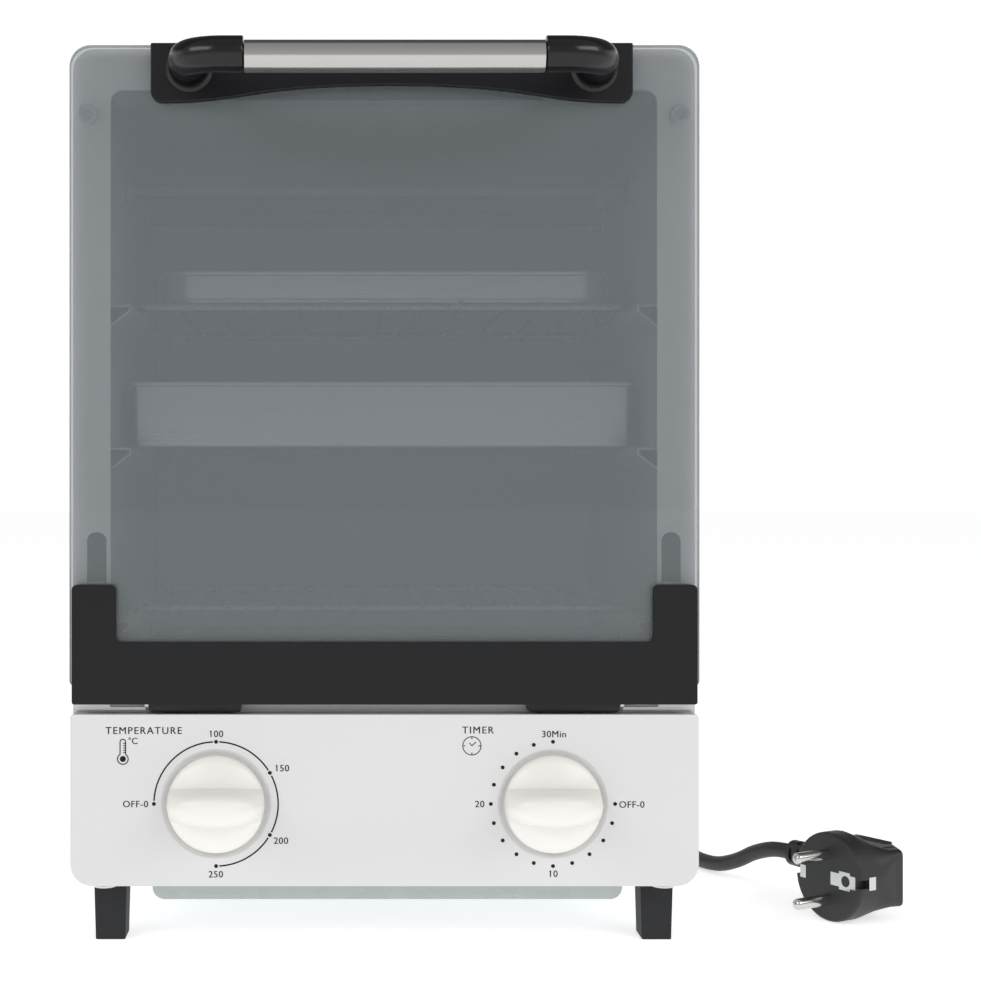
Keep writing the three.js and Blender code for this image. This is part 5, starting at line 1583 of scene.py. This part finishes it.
DEGREES = (Word("OFF-0", -0.0319, 0.0), Word("100", 0.0, 0.0278), Word("150", 0.0261, 0.0142),
           Word("200", 0.0257, -0.0145), Word("250", -0.0001, -0.0278))
TEMPERATURE_WORDS = (Word("TEMPERATURE", -0.0286, 0.0291, cap=0.0028, spacing=1.2),
                     Word("°C", -0.0329, 0.0250, cap=0.0025, spacing=1.0))
TIMER_WORDS = (Word("30Min", 0.0004, 0.0277), Word("10", 0.0, -0.0276), Word("20", -0.0290, 0.0),
               Word("OFF-0", 0.0312, -0.0002), Word("TIMER", -0.0297, 0.0293, cap=0.0028, spacing=1.2))


@dataclass
class Printing:
    """Ink on the panel: dial rings, dots, numbers and plain signs."""

    ink: float = 0.00005
    ring_radius: float = 0.0246
    ring_marks: tuple[int, ...] = (180, 270, 330, 30, 90)
    ring_arcs: tuple[tuple[int, int], ...] = ((180, 270), (270, 330), (330, 390), (390, 450))
    ring_gap: float = 2.9
    minute_dots: int = 16
    minute_step: float = 18.0
    dot_radius: float = 0.00078
    line_half: float = 0.0003
    fine_share: float = 0.7
    finest_share: float = 0.6
    capital_share: float = 0.70
    letter_steps: int = 4
    weight: float = 0.00005
    flag_height: float = 0.42
    flag_width: float = 0.2
    flag_fall: float = 0.14
    thermometer_place: tuple[float, float] = (-0.0369, 0.0178)
    clock_place: tuple[float, float] = (-0.0321, 0.0230)
    meshes: list[bpy.types.Mesh] = field(default_factory=list)

    def text(self, word: Word, dial: Vector) -> None:
        """Set a word, with two strikes side by side that give its strokes their weight.

        Args:
            word: The word.
            dial: The dial's centre on the panel.
        """
        cap, centre = word.cap, dial + Vector((word.x, 0, word.z))
        curve = bpy.data.curves.new("words", "FONT")
        curve.body = word.says
        curve.align_x = "CENTER"
        curve.size = cap / self.capital_share
        curve.space_character = word.spacing
        curve.extrude = self.ink / 2
        curve.resolution_u = self.letter_steps
        holder = bpy.data.objects.new("words", curve)
        bpy.context.scene.collection.objects.link(holder)
        graph = bpy.context.evaluated_depsgraph_get()
        mesh = bpy.data.meshes.new_from_object(holder.evaluated_get(graph), depsgraph=graph)
        bpy.data.objects.remove(holder)
        mesh.materials.clear()
        start = min(vertex.co.x for vertex in mesh.vertices)
        drop = Vector((0, 0, -cap / 2))
        mesh.transform(Matrix.Translation(centre + drop) @ Matrix.Rotation(math.pi / 2, 4, "X"))
        lift = self.ink / 10
        for side in (-1, 1):
            strike = mesh.copy()
            strike.transform(Matrix.Translation((side * self.weight, side * lift, 0)))
            self.meshes.append(strike)
        if word.says.startswith("1"):
            tip = centre + Vector((start + self.line_half, 0, cap * self.flag_height))
            foot = tip + Vector((-cap * self.flag_width, 0, -cap * self.flag_fall))
            self.stroke([tip, foot], self.line_half * self.fine_share)

    def stroke(self, points: Sequence[Vector], half: float, closed: bool = False) -> None:
        """Draw a line of ink through points on the panel.

        Args:
            points: The points, in order.
            half: Half of the line's width.
            closed: Whether the last point joins the first.
        """
        line = [*points, points[0], points[1]] if closed else list(points)
        rings = []
        for index, point in enumerate(line):
            run = (line[min(index + 1, len(line) - 1)] - line[max(index - 1, 0)]).normalized()
            side = Vector((-run.z, 0, run.x)) * half
            rise = Vector((0, -self.ink / 2, 0))
            rings.append([point + side + rise, point - side + rise, point - side - rise, point + side - rise])
        self.meshes.append(skin(rings, "stroke"))

    def arc(self, centre: Vector, radius: float, start: float, end: float, half: float) -> None:
        """Draw an arc of ink.

        Args:
            centre: Its centre.
            radius: Its radius.
            start: Angle where it starts, in degrees clockwise from the right.
            end: Angle where it ends.
            half: Half of the line's width.
        """
        least_steps, degrees_a_step = 6, 3
        steps = max(least_steps, int(abs(end - start) / degrees_a_step))
        angles = [math.radians(start + (end - start) * step / steps) for step in range(steps + 1)]
        self.stroke([centre + Vector((math.cos(a), 0, -math.sin(a))) * radius for a in angles], half)

    def dots(self, name: str, centre: Vector, count: int, step: float,
             tree: bpy.types.NodeTree) -> bpy.types.Mesh:
        """Grow a row of dots round a dial from the right, clockwise.

        Args:
            name: Name of the row.
            centre: The dial's centre on the panel.
            count: How many dots.
            step: Angle from dot to dot, in degrees.
            tree: The tree that makes dots.

        Returns:
            Their mesh.
        """
        piece = grown(name, tree, {
            "Count": count, "Step": math.radians(step), "Ring Radius": self.ring_radius,
            "Dot Radius": self.dot_radius, "Thickness": self.ink, "Centre": centre,
            "Material": INK.material()})
        mesh = piece.data
        bpy.data.objects.remove(piece)
        return mesh

    def temperature(self, centre: Vector, tree: bpy.types.NodeTree) -> None:
        """Print the temperature dial: a ring broken at its marks, degrees and a thermometer.

        Args:
            centre: The dial's centre on the panel.
            tree: The tree that makes dots.
        """
        for start, end in self.ring_arcs:
            self.arc(centre, self.ring_radius, start + self.ring_gap, end - self.ring_gap, self.line_half)
        for word in DEGREES:
            self.text(word, centre)
        for angle in self.ring_marks:
            mesh = self.dots("mark", Vector(), 1, 0, tree)
            turn = Matrix.Rotation(math.radians(angle), 4, "Y")
            mesh.transform(Matrix.Translation(centre) @ turn)
            self.meshes.append(mesh)
        for word in TEMPERATURE_WORDS:
            self.text(word, centre)
        x, z = self.thermometer_place
        self.thermometer(centre + Vector((x, 0, z)))

    def thermometer(self, bulb: Vector) -> None:
        """Draw a thermometer: an open bulb with its fill, a tube with a round top, and its degrees.

        Args:
            bulb: Middle of its bulb.
        """
        fine, finest = self.line_half * self.fine_share, self.line_half * self.finest_share
        bulb_radius, open_from, open_to, fill = 0.0021, -60, 240, 0.0006
        half, foot, crown = 0.0011, 0.0018, 0.0067
        self.arc(bulb, bulb_radius, open_from, open_to, fine)
        for side in (-1, 1):
            self.stroke([bulb + Vector((side * half, 0, foot)), bulb + Vector((side * half, 0, crown))], fine)
        self.arc(bulb + Vector((0, 0, crown)), half, 180, 360, fine)
        self.arc(bulb, fill, 0, 360, fill)
        first, pitch, count, near = 0.0026, 0.0009, 5, 0.0001
        for step in range(count):
            height = first + pitch * step
            self.stroke([bulb + Vector((near, 0, height)), bulb + Vector((half, 0, height))], finest)

    def timer(self, centre: Vector, tree: bpy.types.NodeTree) -> None:
        """Print the timer's dial: sixteen dots, minutes and a clock.

        Args:
            centre: The dial's centre on the panel.
            tree: The tree that makes dots.
        """
        self.meshes.append(self.dots("minutes", centre, self.minute_dots, self.minute_step, tree))
        for word in TIMER_WORDS:
            self.text(word, centre)
        x, z = self.clock_place
        self.clock(centre + Vector((x, 0, z)))

    def clock(self, middle: Vector) -> None:
        """Draw a clock: its rim, four notches and two hands.

        Args:
            middle: Its middle.
        """
        rim, notch, fine = 0.0036, 0.72, self.line_half * self.finest_share
        self.arc(middle, rim, 0, 360, fine)
        for degrees in (0, 90, 180, 270):
            angle = math.radians(degrees)
            turn = Vector((math.cos(angle), 0, math.sin(angle)))
            self.stroke([middle + turn * rim * notch, middle + turn * rim], fine)
        for x, z in ((0.0016, 0.0015), (-0.0010, 0.0012)):
            self.stroke([middle, middle + Vector((x, 0, z))], fine)

    def build(self) -> None:
        """Print both dials on the panel's front."""
        panel_low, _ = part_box("control_panel")
        tree = dial_dots_tree()
        front = panel_low.y - self.ink / 2
        for node, printer in (("temperature_knob", self.temperature), ("timer_knob", self.timer)):
            low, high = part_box(node)
            printer(Vector(((low.x + high.x) / 2, front, (low.z + high.z) / 2)), tree)
        fit(link("panel_printing", joined(self.meshes, "panel_printing")), Body.CASE, INK)


@dataclass
class Controls:
    """Knobs, shafts, switch bodies and the panel's printing."""

    frame: Frame
    shaft_edge: float = 0.0004
    body_edge_mm: float = 0.4

    def build(self) -> None:
        """Make both controls and print their dials."""
        Knob("temperature_knob", Body.TEMPERATURE, (-1, 1)).build()
        Knob("timer_knob", Body.TIMER, (1,)).build()
        for stem, body in (("thermostat", Body.TEMPERATURE), ("timer", Body.TIMER)):
            low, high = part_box(f"{stem}_shaft")
            radius, length, ease = (high.x - low.x) / 2, high.y - low.y, self.shaft_edge
            origin = Vector(((low.x + high.x) / 2, high.y, (low.z + high.z) / 2))
            profile = [(0, 0), (radius - ease, 0), (radius, ease), (radius, length - ease),
                       (radius - ease, length), (0, length)]
            shaft = lathe(profile, Way.FRONT, origin, "shaft", steps=32)
            fit(link(f"{stem}_spindle", shaft), body, ZINC, [f"{stem}_shaft"])
            self.frame.eased(f"{stem}_body", Body.CASE, ZINC, self.body_edge_mm)
        Printing().build()


# Chamber


@dataclass(frozen=True)
class Pressing:
    """A pressed tray: its solid, its upright corners, how far its walls lean, and the round at their foot."""

    node: str
    corner: float
    draft: float
    foot: float


@dataclass
class Chamber:
    """The lined chamber with its heaters, racks and trays."""

    frame: Frame
    rack_corner: float = 0.005
    rack_frame_radius: float = 0.002
    rack_rod_radius: float = 0.0011
    rack_rod_count: int = 11
    rack_rod_pitch: float = 0.0172
    heater_radius: float = 0.0032
    ceramic_radius: float = 0.005
    ceramic_flange: float = 0.0024
    ceramic_reach: float = 0.0063
    tray_sheet: float = 0.0008
    tray_bead: float = 0.0011
    tray_steps: int = 5
    corner_steps: int = 10
    least_corner: float = 0.0004
    bead_middles: float = 1.5
    ceramic_edge: float = 0.0005
    liner_edge_mm: float = 0.2
    crumb_edge_mm: float = 0.18
    upper_pan: Pressing = Pressing("upper_tray", 0.016, 0.0, 0.004)
    lower_pan: Pressing = Pressing("lower_tray", 0.004, 0.0012, 0.0022)

    def liner(self) -> None:
        """Finish the chamber's sheets."""
        for node in ("chamber_wall_left", "chamber_wall_right", "chamber_roof", "chamber_back",
                     "control_divider"):
            self.frame.eased(node, Body.CASE, LINER, self.liner_edge_mm)

    def heaters(self) -> None:
        """Turn the sheathed heaters and the ceramic bushes at their ends."""
        for name in ("lower_heater_front", "lower_heater_rear", "upper_heater_front", "upper_heater_rear"):
            low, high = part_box(name)
            half = (high.x - low.x) / 2
            flange_radius = (high.z - low.z) / 2
            origin = Vector(((low.x + high.x) / 2, (low.y + high.y) / 2, (low.z + high.z) / 2))
            face = half - self.ceramic_reach
            r, rc = self.heater_radius, self.ceramic_radius
            tube_end = face - self.ceramic_flange
            profile = [(0, -tube_end), (r, -tube_end), (r, tube_end), (0, tube_end)]
            tube = lathe(profile, Way.RIGHT, origin, name, steps=32)
            fit(link(f"{name}_tube", tube), Body.CASE, SHEATH, [name])
            ease, end = self.ceramic_edge, half - tube_end
            profile = [(0, 0), (flange_radius - ease, 0), (flange_radius, ease),
                       (flange_radius, self.ceramic_flange), (rc, self.ceramic_flange), (rc, end - ease),
                       (rc - ease, end), (0, end)]
            bushes = []
            for side, way in ((-1, Way.LEFT), (1, Way.RIGHT)):
                seat = origin + Vector((side * tube_end, 0, 0))
                bushes.append(lathe(profile, way, seat, "bush", steps=32))
            fit(link(f"{name}_bushes", joined(bushes, "bushes")), Body.CASE, STEATITE)

    def racks(self) -> None:
        """Grow both wire racks."""
        tree = wire_rack_tree()
        for node, body in (("bottom_rack", Body.BOTTOM_SHELF), ("upper_rack", Body.UPPER_SHELF)):
            low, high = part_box(node)
            wire = 2 * self.rack_frame_radius
            piece = grown(f"{node}_wire", tree, {
                "Width": high.x - low.x - wire, "Depth": high.y - low.y - wire, "Corner": self.rack_corner,
                "Frame Radius": self.rack_frame_radius, "Rod Radius": self.rack_rod_radius,
                "Rods": self.rack_rod_count, "Pitch": self.rack_rod_pitch, "Centre": (low + high) / 2,
                "Material": CHROMED.material()})
            fit(piece, body, CHROMED, [node])

    def pan(self, shape: Pressing) -> bpy.types.Mesh:
        """Press a tray with a beaded rim from its solid's box.

        Args:
            shape: How the tray is pressed.

        Returns:
            The closed mesh.
        """
        low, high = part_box(shape.node)
        centre = Vector(((low.x + high.x) / 2, (low.y + high.y) / 2, low.z))
        half_x, half_y, wall = (high.x - low.x) / 2, (high.y - low.y) / 2, high.z - low.z
        bead, sheet, foot, steps = self.tray_bead, self.tray_sheet, shape.foot, self.tray_steps
        wall_foot = bead * self.bead_middles + shape.draft
        # Pairs of inset and height: up the outside, round the bead, and down the inside
        profile = [(wall_foot + foot, 0.0)]
        for step in range(1, steps + 1):
            angle = math.pi / 2 * step / steps
            profile.append((wall_foot + foot * (1 - math.sin(angle)), foot * (1 - math.cos(angle))))
        first, pace = -60, -30
        for degrees in range(first, -360 + pace, pace):
            angle = math.radians(degrees)
            profile.append((bead + bead * math.cos(angle), wall - bead + bead * math.sin(angle)))
        inner = max(foot - sheet, sheet / 2)
        for step in range(steps + 1):
            angle = math.pi / 2 * step / steps
            inset = wall_foot + sheet + inner * (1 - math.cos(angle))
            profile.append((inset, sheet + inner * (1 - math.sin(angle))))
        rings = []
        for inset, height in profile:
            radius = max(shape.corner - inset, self.least_corner)
            outline = rounded_rectangle(half_x - inset, half_y - inset, radius, self.corner_steps)
            rings.append([centre + Vector((x, y, height)) for x, y in outline])
        return skin(rings, shape.node)

    def trays(self) -> None:
        """Press the two trays and finish the crumb tray."""
        for shape, body in ((self.upper_pan, Body.UPPER_SHELF), (self.lower_pan, Body.LOWER_PAN)):
            fit(link(f"{shape.node}_pressing", self.pan(shape)), body, TRAY_STEEL, [shape.node])
        self.frame.eased("crumb_tray", Body.CRUMB_DRAWER, GALVANISED, self.crumb_edge_mm)

    def build(self) -> None:
        """Finish the chamber and what stands in it."""
        self.liner()
        self.heaters()
        self.racks()
        self.trays()


# Door


@dataclass
class Door:
    """The drop-down glass door with its frame, handle and hinges."""

    frame: Frame
    elbow_radius: float = 0.0068
    elbow_bend: float = 0.015
    elbow_sleeve: float = 0.008
    elbow_rise: float = 0.0009
    foot_rise: float = 0.0032
    foot_radius: float = 0.0094
    foot_height: float = 0.0032
    tube_wall: float = 0.001
    tube_stop: float = 0.004
    tube_gap: float = 0.0003
    handle_edge: float = 0.0002
    bend_steps: int = 14
    flare_steps: int = 8
    flare_power: int = 3
    pane_edge_mm: float = 0.5
    bottom_edge_mm: float = 0.7
    bracket_edge_mm: float = 0.6
    strip_edge_mm: float = 0.4
    arm_edge_mm: float = 0.25
    stamping_edge_mm: float = 0.15

    def leaf(self) -> None:
        """Finish the pane, its frame and the handle's plates."""
        pane = self.frame.eased("door_glass", Body.DOOR, GLASS, self.pane_edge_mm)
        pane.data.materials.append(GLASS_EDGE_AND_HIGHLIGHT.material())
        # Faces that don't face front or back take the paler edge finish, partly the edge's own tone and
        # partly a painted highlight along the pane's border
        facing = 0.9
        for face in pane.data.polygons:
            face.material_index = int(abs(face.normal.y) < facing)
        self.frame.eased("door_bottom_frame", Body.DOOR, NYLON, self.bottom_edge_mm, segments=4)
        self.frame.eased("handle_bracket", Body.DOOR, NYLON, self.bracket_edge_mm)
        self.frame.eased("handle_clamp_strip", Body.DOOR, NYLON, self.strip_edge_mm)

    def handle(self) -> None:
        """Make the steel tube and the elbows at its two ends."""
        low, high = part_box("handle_tube")
        middle = (low + high) / 2
        radius, half = (high.z - low.z) / 2, (high.x - low.x) / 2
        bore, ease, stop = radius - self.tube_wall, self.handle_edge, half - self.tube_stop
        profile = [(0, stop), (bore, stop), (bore, half), (radius - ease, half), (radius, half - ease),
                   (radius, ease - half), (radius - ease, -half), (bore, -half), (bore, -stop), (0, -stop)]
        tube = lathe(profile, Way.RIGHT, middle, "tube", steps=72)
        fit(link("handle_bar", tube), Body.DOOR, TUBE_STEEL, ["handle_tube"])
        for side, name in ((-1, "left"), (1, "right")):
            start_x = middle.x + side * (half + self.tube_gap)
            self.elbow(f"handle_elbow_{name}", side, start_x, middle)

    def elbow(self, node: str, side: int, start_x: float, middle: Vector) -> None:
        """Bend an elbow from the tube's end back to the bracket, where its foot flares out.

        Args:
            node: The elbow's solid.
            side: -1 on the left, 1 on the right.
            start_x: X of its face at the tube.
            middle: Middle of the tube.
        """
        _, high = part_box(node)
        face, ease, wide = high.y, self.handle_edge, self.elbow_radius
        bend_x = start_x + side * self.elbow_sleeve
        flat = [(start_x, middle.y), (start_x + side * ease, middle.y), (start_x + side * ease * 3, middle.y),
                (bend_x, middle.y)]
        radii = [wide - 3 * ease, wide - ease, wide, wide]
        for step in range(1, self.bend_steps + 1):
            angle = math.pi / 2 * step / self.bend_steps
            flat.append((bend_x + side * self.elbow_bend * math.sin(angle),
                         middle.y + self.elbow_bend * (1 - math.cos(angle))))
            radii.append(wide)
        foot_x = flat[-1][0]
        flare = self.foot_height * 2
        for step in range(1, self.flare_steps + 1):
            share = step / self.flare_steps
            flat.append((foot_x, face - flare + (flare - ease * 4) * share))
            radii.append(wide + (self.foot_radius - wide) * share ** self.flare_power)
        flat.append((foot_x, face))
        radii.append(self.foot_radius - ease)
        climb = (self.foot_rise - self.elbow_rise) / (face - middle.y)
        path = [Vector((x, y, middle.z + self.elbow_rise + climb * (y - middle.y))) for x, y in flat]
        fit(link(f"{node}_bend", sweep(path, radii, node, sides=56)), Body.DOOR, PHENOLIC, [node])

    def hinges(self) -> None:
        """Finish the hinge arms, pins and brackets."""
        for side in ("left", "right"):
            self.frame.eased(f"hinge_arm_{side}", Body.DOOR, ZINC, self.arm_edge_mm)
            self.frame.eased(f"hinge_bracket_{side}", Body.CASE, ZINC, self.stamping_edge_mm)
            self.frame.eased(f"hinge_pin_{side}", Body.DOOR, ZINC, self.stamping_edge_mm)

    def build(self) -> None:
        """Finish the whole door."""
        self.leaf()
        self.handle()
        self.hinges()


def main() -> None:
    """Load the frame and build every sub-assembly round it."""
    logging.basicConfig(level=logging.INFO, format="%(name)s: %(message)s")
    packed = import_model()
    frame = Frame(packed["nodes"])
    panel_low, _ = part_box("control_panel")
    Studio().build(panel_low.y)
    MainsLead().build()
    Case(frame).build()
    Controls(frame).build()
    Chamber(frame).build()
    Door(frame).build()


if __name__ == "__main__":
    main()
